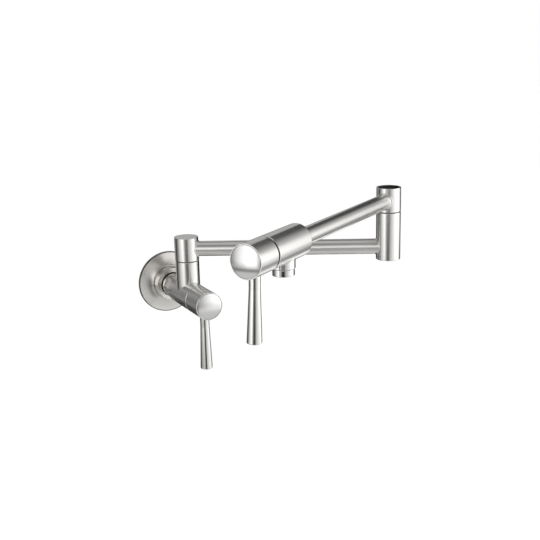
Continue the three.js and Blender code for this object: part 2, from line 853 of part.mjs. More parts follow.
function addPivot(parent, name, armRise) {
  const place = headPlaces();
  const [lowerRing, upperRing] = pivotRings();
  const cordCentre = pivotRadius - pivotCordRadius + gap / 2;
  const washerFrom = -seam / 2 - thrustRecess + gap;
  addPiece(parent, name + "_pivot", pivot(armRise), brass);
  addPiece(parent, name + "_lower_o_ring", uprightRing(cordCentre, pivotCordRadius, lowerRing), rubber);
  addPiece(parent, name + "_upper_o_ring", uprightRing(cordCentre, pivotCordRadius, upperRing), rubber);
  addPiece(
    parent,
    name + "_thrust_washer",
    upright(ringProfile(pivotRadius + gap, swivelRadius - thrustRim, washerFrom, seam / 2 - gap), innerFacets),
    slipPlastic,
  );
  addPiece(
    parent,
    name + "_retaining_washer",
    upright(
      ringProfile(screwShankRadius + gap, retainerRadius, place.retainer, place.retainer + retainerThickness),
      innerFacets,
    ),
    stainless,
  );
  addPiece(
    parent,
    name + "_retaining_screw",
    headedScrew(
      screwShankRadius,
      place.nose - screwReach + 3 * gap,
      place.screwHead,
      screwHeadRadius,
      screwHeadHeight,
    ).rotateX(Math.PI / 2),
    stainless,
  );
}

function uprightRing(radius, cordRadius, height) {
  return oRing(radius, cordRadius, height).rotateX(Math.PI / 2);
}

function addHead(parent, name, armRise) {
  const place = headPlaces();
  const capRadius = swivelRadius - capRim - gap;
  addPiece(parent, name + "_head", swivelHead(armRise), brushedNickel);
  addPiece(
    parent,
    name + "_cap",
    upright(
      [
        [0, place.capBottom],
        [capRadius, place.capBottom],
        [capRadius, headHeight],
        [0, headHeight],
      ],
      outerFacets,
    ),
    brushedNickel,
  );
}

// The top of a piece that carries a pivot: recess for the thrust washer, then the bore for the pivot's root.
function pivotSeatProfile(top, boreRadius) {
  return [
    [swivelRadius, top - edge],
    [swivelRadius - edge, top],
    [swivelRadius - thrustRim + gap, top],
    [swivelRadius - thrustRim + gap, top - thrustRecess],
    [pivotRadius + gap, top - thrustRecess],
    [pivotRadius + gap, top + seam / 2 - pivotRoot - gap],
    [boreRadius, top + seam / 2 - pivotRoot - gap],
  ];
}

// Upright tube on the wall valve: a saddle on the valve's round side and a tenon in its port.
function riserTube() {
  const top = shoulderSeamHeight - seam / 2;
  const column = upright([[riserBore, 0], [swivelRadius, 0], ...pivotSeatProfile(top, riserBore)], outerFacets);
  const outside = cut(column, rod("y", valveRadius + gap, -2 * swivelRadius, 2 * swivelRadius, outerFacets));
  const tenon = cut(
    upright(ringProfile(riserBore, tenonRadius, 0, valveRadius + overcut), outerFacets),
    rod("y", chamberRadius + tenonStop, -2 * swivelRadius, 2 * swivelRadius, outerFacets),
  );
  return joined(outside, tenon);
}

// ---- Arms ----

// A tube along X. Its ends follow the upright cylinders that take it.
function armTube(from, to, cutters) {
  const pipe = turned(ringProfile(tubeRadius - tubeWall, tubeRadius, from, to), armFacets).rotateZ(-Math.PI / 2);
  return cut(pipe, ...cutters);
}

function saddleCutter(place) {
  return rod("z", socketSeatRadius + gap, -2 * tubeRadius, 2 * tubeRadius, outerFacets).translate(place, 0, 0);
}

function elbowBody() {
  const armHeight = shoulderSeamHeight + shoulderArmRise;
  const body = upright(
    [
      [0, elbowBottom],
      [swivelRadius - edge, elbowBottom],
      [swivelRadius, elbowBottom + edge],
      ...pivotSeatProfile(elbowSeamHeight - seam / 2, elbowBore),
      [elbowBore, elbowBottom + elbowFloor],
      [0, elbowBottom + elbowFloor],
    ],
    outerFacets,
  );
  return cut(body, ...armSocket(armHeight, -1, elbowPortRadius));
}

function addFirstArm(parent) {
  const armHeight = shoulderSeamHeight + shoulderArmRise;
  const head = addGroup(parent, 0, 0, shoulderSeamHeight);
  addHead(head, "shoulder", shoulderArmRise);
  const tube = armTube(0, firstReach, [saddleCutter(0), saddleCutter(firstReach)]);
  addPiece(parent, "first_arm_tube", tube.translate(0, 0, armHeight), brushedNickel);
  const elbow = addGroup(parent, firstReach, 0, 0);
  addPiece(elbow, "elbow_body", elbowBody(), brushedNickel);
  addPivot(addGroup(elbow, 0, 0, elbowSeamHeight), "elbow", elbowArmRise);
}

// ---- Spout end: along +Y from the seam, as the handle ----

function outletValveBody() {
  const back = -outletBodyLength;
  const socketEnd = back + armSocketDepth;
  const spoutAxis = back + spoutInset;
  const body = turned(
    [
      [armSocketRadius, back],
      [valveRadius - valveRearChamfer, back],
      [valveRadius, back + valveRearChamfer],
      [valveRadius, -seam / 2 - edge],
      [valveRadius - edge, -seam / 2],
      [chamberRadius, -seam / 2],
      [chamberRadius, -seatDepth],
      [waterwayRadius, -seatDepth],
      [waterwayRadius, socketEnd],
      [armSocketRadius, socketEnd],
    ],
    outerFacets,
  );
  const port = rod("z", outletPortRadius, -valveRadius - overcut, -waterwayRadius - portWeb);
  return cut(body, port.translate(0, spoutAxis, 0));
}

// Short stub with a saddle on the valve's round side and a thread for the aerator.
function spoutNeck() {
  const bore = aeratorThreadRadius + gap;
  const stub = upright(
    [
      [bore, -spoutNeckDrop],
      [spoutNeckRadius - edge, -spoutNeckDrop],
      [spoutNeckRadius, -spoutNeckDrop + edge],
      [spoutNeckRadius, 0],
      [bore, 0],
    ],
    outerFacets,
  );
  return cut(stub, rod("y", valveRadius + gap, -2 * valveRadius, 2 * valveRadius, outerFacets));
}

function aeratorHousing() {
  const boreRadius = aeratorThreadRadius - aeratorWall;
  const shoulder = -spoutNeckDrop - gap;
  return upright(
    [
      [boreRadius - aeratorLip, -aeratorDrop],
      [aeratorRadius - edge, -aeratorDrop],
      [aeratorRadius, -aeratorDrop + edge],
      [aeratorRadius, shoulder],
      [aeratorThreadRadius, shoulder],
      [aeratorThreadRadius, shoulder + aeratorThreadLength],
      [boreRadius, shoulder + aeratorThreadLength],
      [boreRadius, -aeratorDrop + aeratorLip],
      [boreRadius - aeratorLip, -aeratorDrop + aeratorLip],
    ],
    armFacets,
  );
}

function addSpout(parent) {
  const spout = addGroup(parent, 0, spoutInset - outletBodyLength, 0);
  const insertRadius = aeratorThreadRadius - aeratorWall - gap;
  const insertFrom = -aeratorDrop + aeratorLip + gap;
  const washerFrom = insertFrom + insertHeight + gap;
  addPiece(parent, "outlet_valve_body", outletValveBody(), brushedNickel);
  addPiece(spout, "outlet_neck", spoutNeck(), brushedNickel);
  addPiece(spout, "aerator_housing", aeratorHousing(), brushedNickel);
  addPiece(
    spout,
    "aerator_insert",
    perforatedPlate(
      insertRadius,
      insertFrom,
      insertFrom + insertHeight,
      insertHoleRadius,
      insertHolePitch,
      insertHoleRings,
      insertHoleCorners,
    ).rotateX(Math.PI / 2),
    whitePlastic,
  );
  addPiece(
    spout,
    "aerator_washer",
    upright(
      ringProfile(
        insertRadius - aeratorWasherWidth,
        insertRadius,
        washerFrom,
        washerFrom + aeratorWasherThickness,
      ),
      innerFacets,
    ),
    rubber,
  );
}

function addSecondArm(parent) {
  const armHeight = elbowSeamHeight + elbowArmRise;
  const tubeEnd = outletSeam - outletBodyLength + armSocketDepth - gap;
  addHead(addGroup(parent, 0, 0, elbowSeamHeight), "elbow", elbowArmRise);
  const tube = armTube(0, tubeEnd, [saddleCutter(0)]);
  addPiece(parent, "second_arm_tube", tube.translate(0, 0, armHeight), brushedNickel);
  const valve = addGroup(parent, outletSeam, 0, armHeight, -90);
  addSpout(valve);
  addCartridge(valve, "outlet");
  const handle = addGroup(valve, 0, 0, 0);
  handle.rotation.y = THREE.MathUtils.degToRad(-outletLeverLean);
  addHandle(handle, "outlet");
}

// ---- The whole tap ----
const potFiller = new THREE.Group();

const wallEnd = addGroup(potFiller, 0, 0, 0, 180);
addWallEnd(wallEnd);
const inletValve = addGroup(wallEnd, 0, inletSeam, 0);
addCartridge(inletValve, "inlet");
addHandle(inletValve, "inlet");

const riser = addGroup(potFiller, 0, -riserAxis, 0);
addPiece(riser, "riser_tube", riserTube(), brushedNickel);
addPivot(addGroup(riser, 0, 0, shoulderSeamHeight), "shoulder", shoulderArmRise);

const firstArm = addGroup(riser, 0, 0, 0, firstArmAngle);
addFirstArm(firstArm);
const secondArm = addGroup(firstArm, firstReach, 0, 0, secondArmAngle);
addSecondArm(secondArm);

export default potFiller;
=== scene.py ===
# Wall mounted pot filler in brushed nickel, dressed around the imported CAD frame.
# Sizes are in millimetres and become metres where a mesh is made.
# +Z is up, the wall is Y = 0, and the tap stands out to -Y.
import json
import math

import bmesh
import bpy
from mathutils import Matrix, Vector


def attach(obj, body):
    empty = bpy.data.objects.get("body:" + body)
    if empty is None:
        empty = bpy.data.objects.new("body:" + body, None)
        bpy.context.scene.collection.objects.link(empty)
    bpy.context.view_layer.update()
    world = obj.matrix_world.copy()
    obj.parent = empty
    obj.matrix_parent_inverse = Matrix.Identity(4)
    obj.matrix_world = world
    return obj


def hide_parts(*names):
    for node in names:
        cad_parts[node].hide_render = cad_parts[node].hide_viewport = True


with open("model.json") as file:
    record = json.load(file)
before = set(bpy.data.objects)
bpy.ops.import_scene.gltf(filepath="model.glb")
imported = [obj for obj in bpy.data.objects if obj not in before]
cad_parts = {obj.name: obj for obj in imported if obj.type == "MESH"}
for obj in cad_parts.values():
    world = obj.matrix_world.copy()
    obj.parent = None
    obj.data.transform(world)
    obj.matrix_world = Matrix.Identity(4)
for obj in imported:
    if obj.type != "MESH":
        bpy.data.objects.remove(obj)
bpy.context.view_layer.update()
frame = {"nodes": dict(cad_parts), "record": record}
scene = bpy.context.scene
mm = 0.001
up = Vector((0, 0, 1))
outwards = Vector((0, -1, 0))
wallCentre = Vector((0, 0, 0))
print("frame loaded:", len(frame["nodes"]), "nodes")


# Helpers for node trees, shader and geometry alike.
def addSocket(tree, name, kind, value=None, out=False):
    socket = tree.interface.new_socket(name=name, in_out="OUTPUT" if out else "INPUT", socket_type=kind)
    if value is not None:
        socket.default_value = value


def addNode(tree, kind, **settings):
    node = tree.nodes.new(kind)
    for key, value in settings.items():
        setattr(node, key, value)
    return node


def calculate(tree, operation, *values):
    node = addNode(tree, "ShaderNodeMath", operation=operation)
    for i, value in enumerate(values):
        if isinstance(value, bpy.types.NodeSocket):
            tree.links.new(value, node.inputs[i])
        else:
            node.inputs[i].default_value = value
    return node.outputs[0]


# Materials
def newMaterial(name):
    material = bpy.data.materials.new(name)
    material.use_nodes = True
    nodes = material.node_tree.nodes
    return material, nodes, material.node_tree.links, nodes["Principled BSDF"]


# Fine lines left by the belt. They run round a turned piece, so the noise is stretched across grainPlace's
# x, which is the place along the axis. Clouds change the lines' tone a little from spot to spot.
grainMix = {
    "detail": 2, "lineRoughness": 0.7, "cloudScale": 60, "cloudShare": 0.3, "middle": 0.65, "depth": 0.0002,
}


def makeGrainGroup():
    tree = bpy.data.node_groups.new("beltGrain", "ShaderNodeTree")
    addSocket(tree, "Place", "NodeSocketVector")
    addSocket(tree, "Line Scale", "NodeSocketFloat", 2600.0)
    addSocket(tree, "Line Stretch", "NodeSocketFloat", 0.03)
    addSocket(tree, "Colour", "NodeSocketColor", (0.7, 0.68, 0.65, 1))
    addSocket(tree, "Roughness", "NodeSocketFloat", 0.25)
    addSocket(tree, "Roughness Spread", "NodeSocketFloat", 0.06)
    addSocket(tree, "Shade Spread", "NodeSocketFloat", 0.05)
    addSocket(tree, "Colour", "NodeSocketColor", out=True)
    addSocket(tree, "Roughness", "NodeSocketFloat", out=True)
    addSocket(tree, "Height", "NodeSocketFloat", out=True)
    links = tree.links
    given, result = addNode(tree, "NodeGroupInput").outputs, addNode(tree, "NodeGroupOutput")
    stretch = addNode(tree, "ShaderNodeCombineXYZ")
    stretch.inputs["X"].default_value = 1
    links.new(given["Line Stretch"], stretch.inputs["Y"])
    links.new(given["Line Stretch"], stretch.inputs["Z"])
    drawn = addNode(tree, "ShaderNodeVectorMath", operation="MULTIPLY")
    links.new(given["Place"], drawn.inputs[0])
    links.new(stretch.outputs[0], drawn.inputs[1])
    lines = addNode(tree, "ShaderNodeTexNoise")
    lines.inputs["Detail"].default_value = grainMix["detail"]
    lines.inputs["Roughness"].default_value = grainMix["lineRoughness"]
    links.new(drawn.outputs[0], lines.inputs["Vector"])
    links.new(given["Line Scale"], lines.inputs["Scale"])
    clouds = addNode(tree, "ShaderNodeTexNoise")
    clouds.inputs["Scale"].default_value = grainMix["cloudScale"]
    clouds.inputs["Detail"].default_value = grainMix["detail"]
    links.new(given["Place"], clouds.inputs["Vector"])
    mixed = calculate(tree, "MULTIPLY_ADD", clouds.outputs["Fac"], grainMix["cloudShare"], lines.outputs["Fac"])
    centred = calculate(tree, "SUBTRACT", mixed, grainMix["middle"])
    rough = calculate(tree, "MULTIPLY_ADD", centred, given["Roughness Spread"], given["Roughness"])
    shade = calculate(tree, "MULTIPLY_ADD", centred, given["Shade Spread"], 1)
    tint = addNode(tree, "ShaderNodeVectorMath", operation="SCALE")
    links.new(given["Colour"], tint.inputs[0])
    links.new(shade, tint.inputs["Scale"])
    links.new(tint.outputs[0], result.inputs["Colour"])
    links.new(rough, result.inputs["Roughness"])
    links.new(lines.outputs["Fac"], result.inputs["Height"])
    return tree


beltGrain = makeGrainGroup()


# The grain follows the attribute grainPlace, or the object's own coordinates where placeFrom is None.
def brushedMetal(name, colour, roughness, anisotropy=0.0, lineScale=2600, lineStretch=0.03, bump=0.02,
                 shadeSpread=0.05, roughSpread=0.06, placeFrom="grainPlace"):
    material, nodes, links, shader = newMaterial(name)
    grain = nodes.new("ShaderNodeGroup")
    grain.node_tree = beltGrain
    grain.inputs["Line Scale"].default_value = lineScale
    grain.inputs["Line Stretch"].default_value = lineStretch
    grain.inputs["Colour"].default_value = (*colour, 1)
    grain.inputs["Roughness"].default_value = roughness
    grain.inputs["Roughness Spread"].default_value = roughSpread
    grain.inputs["Shade Spread"].default_value = shadeSpread
    if placeFrom:
        place = nodes.new("ShaderNodeAttribute")
        place.attribute_name = placeFrom
        links.new(place.outputs["Vector"], grain.inputs["Place"])
    else:
        place = nodes.new("ShaderNodeTexCoord")
        links.new(place.outputs["Object"], grain.inputs["Place"])
    relief = nodes.new("ShaderNodeBump")
    relief.inputs["Strength"].default_value = bump
    relief.inputs["Distance"].default_value = grainMix["depth"]
    links.new(grain.outputs["Height"], relief.inputs["Height"])
    links.new(grain.outputs["Colour"], shader.inputs["Base Color"])
    links.new(grain.outputs["Roughness"], shader.inputs["Roughness"])
    links.new(relief.outputs["Normal"], shader.inputs["Normal"])
    shader.inputs["Metallic"].default_value = 1
    if anisotropy:
        shader.inputs["Anisotropic"].default_value = anisotropy
        along = nodes.new("ShaderNodeAttribute")
        along.attribute_name = "grainAcross"
        links.new(along.outputs["Vector"], shader.inputs["Tangent"])
    return material


# Moulded, ceramic and rubber pieces: a fine speckle in colour, gloss and height.
speckling = {"scale": 900, "detail": 3, "darkest": 0.8, "palest": 1.15, "glossSpread": 0.06, "depth": 0.0001}


def mouldedMaterial(name, colour, roughness, bump=0.1, specular=0.5):
    material, nodes, links, shader = newMaterial(name)
    shader.inputs["Specular IOR Level"].default_value = specular
    place = nodes.new("ShaderNodeTexCoord")
    speckle = nodes.new("ShaderNodeTexNoise")
    speckle.inputs["Scale"].default_value = speckling["scale"]
    speckle.inputs["Detail"].default_value = speckling["detail"]
    links.new(place.outputs["Object"], speckle.inputs["Vector"])
    shades = nodes.new("ShaderNodeValToRGB")
    shades.color_ramp.elements[0].color = (*[c * speckling["darkest"] for c in colour], 1)
    shades.color_ramp.elements[1].color = (*[min(1, c * speckling["palest"]) for c in colour], 1)
    links.new(speckle.outputs["Fac"], shades.inputs["Fac"])
    gloss = nodes.new("ShaderNodeMapRange")
    gloss.inputs["To Min"].default_value = roughness - speckling["glossSpread"]
    gloss.inputs["To Max"].default_value = roughness + speckling["glossSpread"]
    links.new(speckle.outputs["Fac"], gloss.inputs["Value"])
    relief = nodes.new("ShaderNodeBump")
    relief.inputs["Strength"].default_value = bump
    relief.inputs["Distance"].default_value = speckling["depth"]
    links.new(speckle.outputs["Fac"], relief.inputs["Height"])
    links.new(shades.outputs["Color"], shader.inputs["Base Color"])
    links.new(gloss.outputs["Result"], shader.inputs["Roughness"])
    links.new(relief.outputs["Normal"], shader.inputs["Normal"])
    return material


nickelColour = (0.80, 0.79, 0.77)
plainGrain = {"placeFrom": None, "lineStretch": 1, "lineScale": 800}
finishes = {
    "nickel": brushedMetal("brushedNickel", nickelColour, 0.18, anisotropy=1.0, bump=0.014),
    "nickelSatin": brushedMetal("satinNickel", (0.78, 0.76, 0.725), 0.27, anisotropy=0.7, bump=0.004,
                                shadeSpread=0.03, roughSpread=0.01),
    "nickelArm": brushedMetal("armNickel", nickelColour, 0.28, anisotropy=1.0, bump=0.002,
                              shadeSpread=0.03, roughSpread=0.01),
    "nickelPolished": brushedMetal("polishedNickel", (0.78, 0.775, 0.765), 0.13, bump=0.006, shadeSpread=0.02),
    # edge nickel: its near black colour is painted shade, a dark line drawn along the flange's rim
    "nickelEdgePaintedShade": brushedMetal("edgeNickelPaintedShade", (0.13, 0.13, 0.13), 0.22, bump=0.004, shadeSpread=0.02),
    # nut nickel: coloured darker than the other nickel as painted shade of the nut's recess between collar and
    # valve
    "nickelNutPaintedShade": brushedMetal("nutNickelPaintedShade", (0.52, 0.5, 0.475), 0.18, anisotropy=0.6, bump=0.008,
                              shadeSpread=0.03),
    "nickelLever": brushedMetal("leverNickel", nickelColour, 0.15, anisotropy=0.9, bump=0.005,
                                shadeSpread=0.02),
    "brassTurned": brushedMetal("turnedBrass", (0.72, 0.53, 0.26), 0.3, **plainGrain),
    "steelPlain": brushedMetal("plainSteel", (0.62, 0.63, 0.64), 0.35, **plainGrain),
    "rubberBlack": mouldedMaterial("blackRubber", (0.012, 0.012, 0.013), 0.8, specular=0.2),
    "acetalDark": mouldedMaterial("darkAcetal", (0.05, 0.05, 0.052), 0.5),
    "ceramicWhite": mouldedMaterial("whiteCeramic", (0.82, 0.8, 0.76), 0.22, bump=0.02),
    "plasticWhite": mouldedMaterial("whitePlastic", (0.74, 0.74, 0.72), 0.42),
}
print("finishes ready:", len(finishes))


# Turned pieces. A profile corner is [radius, place, rounding]. Each rounding becomes a small arc with a close
# ring on both sides, so that the flats between them stay flat when shaded smooth.
arc = {"steps": 4, "edgeShare": 0.45, "guard": 0.12, "guardShare": 0.5}
sharpAngle = {"turned": 35, "nut": 24, "bar": 40}


def softened(profile, closed):
    result = []
    count = len(profile)
    for i, corner in enumerate(profile):
        point, rounding = Vector(corner[:2]), corner[2] if len(corner) > 2 else 0
        atEnd = not closed and i in (0, count - 1)
        if atEnd or not rounding:
            result.append(point)
            continue
        before, after = Vector(profile[i - 1][:2]) - point, Vector(profile[(i + 1) % count][:2]) - point
        halfAngle = before.angle(after) / 2
        room = min(before.length, after.length) * arc["edgeShare"]
        back = min(rounding / math.tan(halfAngle), room)
        start, end = point + before.normalized() * back, point + after.normalized() * back
        guard = min(arc["guard"], back * arc["guardShare"])
        result.append(start + before.normalized() * guard)
        for step in range(arc["steps"] + 1):
            t = step / arc["steps"]
            result.append(start * (1 - t) ** 2 + point * 2 * t * (1 - t) + end * t ** 2)
        result.append(end + after.normalized() * guard)
    return result


def axisFrame(origin, direction):
    along = Vector(direction).normalized()
    side = up.cross(along) if abs(along.z) < 0.9 else Vector((1, 0, 0))
    side.normalize()
    return Vector(origin), along, side, along.cross(side)


def finishPiece(mesh, name, finish, body, nodes):
    piece = bpy.data.objects.new(name, mesh)
    scene.collection.objects.link(piece)
    if finish:
        mesh.materials.clear()
        mesh.materials.append(finishes[finish])
    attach(piece, body)
    if nodes:
        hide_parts(*nodes)


# grainPlace carries the pattern, and grainAcross is the tangent that the metal's highlights are drawn along.
def writeGrain(mesh, places, across):
    for label, values in (("grainPlace", places), ("grainAcross", across)):
        layer = mesh.attributes.new(label, "FLOAT_VECTOR", "POINT")
        layer.data.foreach_set("vector", [c for value in values for c in value])


# A closed profile's last ring joins its first one, and a ring of one corner is a pole.
def joinRings(shell, rings, facets, closed):
    for i in range(len(rings) if closed else len(rings) - 1):
        low, high = rings[i], rings[(i + 1) % len(rings)]
        for k in range(facets):
            n = (k + 1) % facets
            if len(low) == 1:
                shell.faces.new((low[0], high[k], high[n]))
            elif len(high) == 1:
                shell.faces.new((low[k], high[0], low[n]))
            else:
                shell.faces.new((low[k], high[k], high[n], low[n]))


# Turns the shell's faces outwards and writes it into the mesh.
def closeShell(shell, mesh):
    bmesh.ops.recalc_face_normals(shell, faces=shell.faces)
    shell.to_mesh(mesh)
    shell.free()


# A solid turned about the line from origin along direction. A profile that starts on the axis is open there.
def turnedPiece(name, profile, origin, direction, body, finish="nickel", nodes=(),
                facets=128):
    closed = profile[0][0] > 0
    corners = softened(profile, closed)
    centre, along, side, third = axisFrame(Vector(origin) * mm, direction)
    shell = bmesh.new()
    rings, places, across = [], [], []
    for i, (radius, place) in enumerate(corners):
        ahead = corners[(i + 1) % len(corners)] if closed or i < len(corners) - 1 else corners[i]
        behind = corners[i - 1] if closed or i > 0 else corners[i]
        run = (Vector(ahead) - Vector(behind)).normalized()
        ring = []
        for k in range(1 if radius < 1e-6 else facets):
            angle = 2 * math.pi * k / facets
            out = side * math.cos(angle) + third * math.sin(angle)
            ring.append(shell.verts.new(centre + (along * place + out * radius) * mm))
            places.append(Vector((place, radius * math.cos(angle), radius * math.sin(angle))) * mm)
            across.append(out * run[0] + along * run[1])
        rings.append(ring)
    joinRings(shell, rings, facets, closed)
    mesh = bpy.data.meshes.new(name)
    closeShell(shell, mesh)
    mesh.shade_smooth()
    mesh.set_sharp_from_angle(angle=math.radians(sharpAngle["turned"]))
    writeGrain(mesh, places, across)
    finishPiece(mesh, name, finish, body, nodes)


# Layout, the same as the CAD. The first reach ends at the elbow's axis and the second one at the spout's, and
# seams are the middles of the turning gaps.
layout = {
    "inletSeam": 89.5,
    "riserAxis": 63.0,
    "shoulderSeam": 38.2,
    "shoulderArmRise": 12.6,
    "elbowBottom": 37.2,
    "elbowSeam": 88.7,
    "elbowArmRise": 11.8,
    "headHeight": 25.7,
    "firstReach": 216.0,
    "secondReach": 228.5,
    "firstAngle": -29.9,
    "secondAngle": -147.5,
    "outletSeam": 260.0,
    "seam": 0.7,
}


def heading(degrees):
    return Vector((math.cos(math.radians(degrees)), math.sin(math.radians(degrees)), 0))


firstWay, secondWay = heading(layout["firstAngle"]), heading(layout["secondAngle"])
shoulder = Vector((0, -layout["riserAxis"], 0))
elbow = shoulder + firstWay * layout["firstReach"]
firstArmHeight = layout["shoulderSeam"] + layout["shoulderArmRise"]
secondArmHeight = layout["elbowSeam"] + layout["elbowArmRise"]
halfSeam = layout["seam"] / 2

# Wall flange, union nut and wall valve: places are measured out from the wall. The grip ring's groove is in the
# flange's bore, and the ridge is the low step round the collar's foot, with a fine groove inside it.
flange = {
    "radius": 35, "rim": 3.0, "rimStep": 0.5, "faceInset": 0.9, "land": 31, "recess": 1.5,
    "hollowRadius": 24.8, "hollow": 3.6, "faceSteps": 14, "footRadius": 20.5, "foot": 6.2,
    "ridge": 19.9, "ridgeRise": 1.2, "grooveOuter": 19.6, "grooveInner": 19.2, "grooveRise": 0.2,
    "collarFoot": 19.05, "collarFootRise": 1.4, "collarRadius": 18.6, "collarDepth": 16.5,
    "lip": 13.7, "lipBack": 14.2, "bore": 14.6, "boreEnd": 14.0,
    "gripRadius": 16.1, "gripFront": 8.5, "gripBack": 5.5, "facets": 192,
}


def flangeFace():
    face = []
    start = Vector((flange["radius"] - flange["faceInset"], flange["rim"]))
    middle = Vector((flange["hollowRadius"], flange["hollow"]))
    end = Vector((flange["footRadius"], flange["foot"]))
    for step in range(flange["faceSteps"] + 1):
        t = step / flange["faceSteps"]
        face.append(list(start * (1 - t) ** 2 + middle * 2 * t * (1 - t) + end * t ** 2))
    return face


discRadius, foot = flange["radius"] - flange["rimStep"], flange["foot"]
turnedPiece("wallFlange", [
    [flange["bore"], flange["recess"]], [flange["land"], flange["recess"]], [flange["land"], 0, 0.2],
    [discRadius, 0, 0.3], [discRadius, flange["rim"] - flange["rimStep"], 0.1],
    *flangeFace(),
    [flange["footRadius"] - 0.2, foot + flange["ridgeRise"], 0.3],
    [flange["ridge"], foot + flange["ridgeRise"] + 0.1, 0.1],
    [flange["grooveOuter"], foot + flange["grooveRise"], 0.1],
    [flange["grooveInner"], foot + flange["grooveRise"], 0.1],
    [flange["collarFoot"], foot + flange["collarFootRise"], 0.2],
    [flange["collarRadius"], flange["collarDepth"], 0.7], [flange["lip"], flange["collarDepth"], 0.5],
    [flange["lip"], flange["lipBack"]], [flange["bore"], flange["boreEnd"]],
    [flange["bore"], flange["gripFront"]], [flange["gripRadius"], flange["gripFront"]],
    [flange["gripRadius"], flange["gripBack"]], [flange["bore"], flange["gripBack"]],
], wallCentre, outwards, "wall_side", "nickelSatin", nodes=["wall_flange"], facets=flange["facets"])

# the rim's edge as a thin ring set over the disc's edge, its nickel coloured near black as painted shade along
# the rim
edging = {"back": 0.1, "inner": 33.4, "chamfer": 0.2, "lapInner": 34.0, "lapRise": 0.02, "lapDrop": 0.1}
turnedPiece("flangeEdge", [
    [edging["inner"], edging["back"]], [flange["radius"], 0, 0.25],
    [flange["radius"], flange["rim"] - edging["chamfer"], 0.12],
    [flange["radius"] - edging["chamfer"], flange["rim"], 0.08],
    [edging["lapInner"], flange["rim"] + edging["lapRise"]],
    [edging["inner"], flange["rim"] - edging["lapDrop"]],
], wallCentre, outwards, "wall_side", "nickelEdgePaintedShade", facets=flange["facets"])

gasket = {"inner": 25.7, "outer": 30.7, "thickness": 1.2, "rounding": 0.3}
turnedPiece("flangeGasket", [
    [radius, place, gasket["rounding"]] for radius, place in (
        (gasket["inner"], 0), (gasket["outer"], 0),
        (gasket["outer"], gasket["thickness"]), (gasket["inner"], gasket["thickness"]))
], wallCentre, outwards, "wall_side", "rubberBlack", ["flange_gasket"])

connector = {
    "socket": 9.6, "barrel": 13.2, "back": 0.6, "barrelEnd": 13.5, "floor": 12.1, "thread": 8.3, "end": 26.0,
    "waterway": 4.6,
}
turnedPiece("supplyConnector", [
    [connector["socket"], connector["back"], 0.5], [connector["barrel"], connector["back"], 0.6],
    [connector["barrel"], connector["barrelEnd"], 0.4], [connector["thread"], connector["barrelEnd"]],
    [connector["thread"], connector["end"], 0.5], [connector["waterway"], connector["end"], 0.3],
    [connector["waterway"], connector["floor"], 0.3], [connector["socket"], connector["floor"]],
], wallCentre, outwards, "wall_side", "brassTurned", ["supply_connector"])

nut = {
    "start": 14.0, "skirtRadius": 13.0, "hexStart": 20.5, "end": 37.4, "acrossFlats": 22.0, "chamfer": 0.9,
    "cornerCut": 0.4, "endChamfer": 1.1, "bore": 6.6, "threadBore": 8.6, "threadDepth": 11, "facetsPerSide": 24,
}


# Round skirt and hexagon in one shell. The flats are cut by the hexagon, and their corners by a round limit.
def unionNut():
    centre, along, side, third = axisFrame(wallCentre, outwards)
    flat, sixth = nut["acrossFlats"] / 2, math.pi / 3
    facets = nut["facetsPerSide"] * 6
    start, hexStart, end, skirt = nut["start"], nut["hexStart"], nut["end"], nut["skirtRadius"]
    corner = flat / math.cos(sixth / 2)
    cut = corner - nut["cornerCut"]

    def hexRadius(angle, limit):
        turn = (angle + sixth / 2) % sixth - sixth / 2
        return min(flat / math.cos(turn), limit)

    shell = bmesh.new()
    rings, places = [], []
    for radius, place, hexed in [
        (nut["bore"], start + nut["threadDepth"] + 1, False),
        (nut["threadBore"], start + nut["threadDepth"], False),
        (nut["threadBore"], start + 0.3, False), (nut["threadBore"] + 0.4, start, False),
        (skirt - 0.4, start, False), (skirt - 0.1, start + 0.1, False), (skirt, start + 0.4, False),
        (skirt, hexStart - nut["chamfer"], False), (skirt - nut["chamfer"], hexStart, False),
        (cut, hexStart + 0.02, True), (cut, end - 1.3, True), (corner - 0.6, end - 0.6, True),
        (corner - nut["endChamfer"], end, True),
        (nut["bore"] + 0.4, end, False), (nut["bore"], end - 0.4, False),
    ]:
        ring = []
        for k in range(facets):
            angle = 2 * math.pi * k / facets
            reach = hexRadius(angle, radius) if hexed else radius
            out = third * math.cos(angle) + side * math.sin(angle)
            ring.append(shell.verts.new((along * place + out * reach) * mm))
            places.append(Vector((place, reach * math.cos(angle), reach * math.sin(angle))) * mm)
        rings.append(ring)
    joinRings(shell, rings, facets, True)
    mesh = bpy.data.meshes.new("unionNut")
    closeShell(shell, mesh)
    mesh.shade_smooth()
    mesh.set_sharp_from_angle(angle=math.radians(sharpAngle["nut"]))
    writeGrain(mesh, places, [along] * len(places))
    # the nut's darker nickel is painted shade of its recess
    finishPiece(mesh, "unionNut", "nickelNutPaintedShade", "wall_side", ["union_nut"])


unionNut()

# Both valves. The wall valve's tail has a collar that the union nut pulls in, and a neck up to the body.
valve = {
    "radius": 14.9, "chamber": 11.4, "rearRounding": 1.1, "edge": 0.7, "groove": {"inlet": 0.35, "outlet": 1.1},
    "waterway": 4.6, "tailRadius": 8.0, "tailStart": 28.2, "tailEnd": 30.4, "neck": 6.3, "bodyStart": 38.0,
    "chamberFloor": 56.5,
}
inletFace = layout["inletSeam"] - halfSeam
turnedPiece("wallValveBody", [
    [valve["waterway"], valve["tailStart"]], [valve["tailRadius"], valve["tailStart"]],
    [valve["tailRadius"], valve["tailEnd"]], [valve["neck"], valve["tailEnd"]],
    [valve["neck"], valve["bodyStart"]],
    [valve["radius"], valve["bodyStart"], valve["rearRounding"]], [valve["radius"], inletFace, valve["edge"]],
    [valve["chamber"], inletFace, 0.2], [valve["chamber"], valve["chamberFloor"]],
    [valve["waterway"], valve["chamberFloor"]],
], wallCentre, outwards, "wall_side", "nickel", nodes=["inlet_valve_body"])

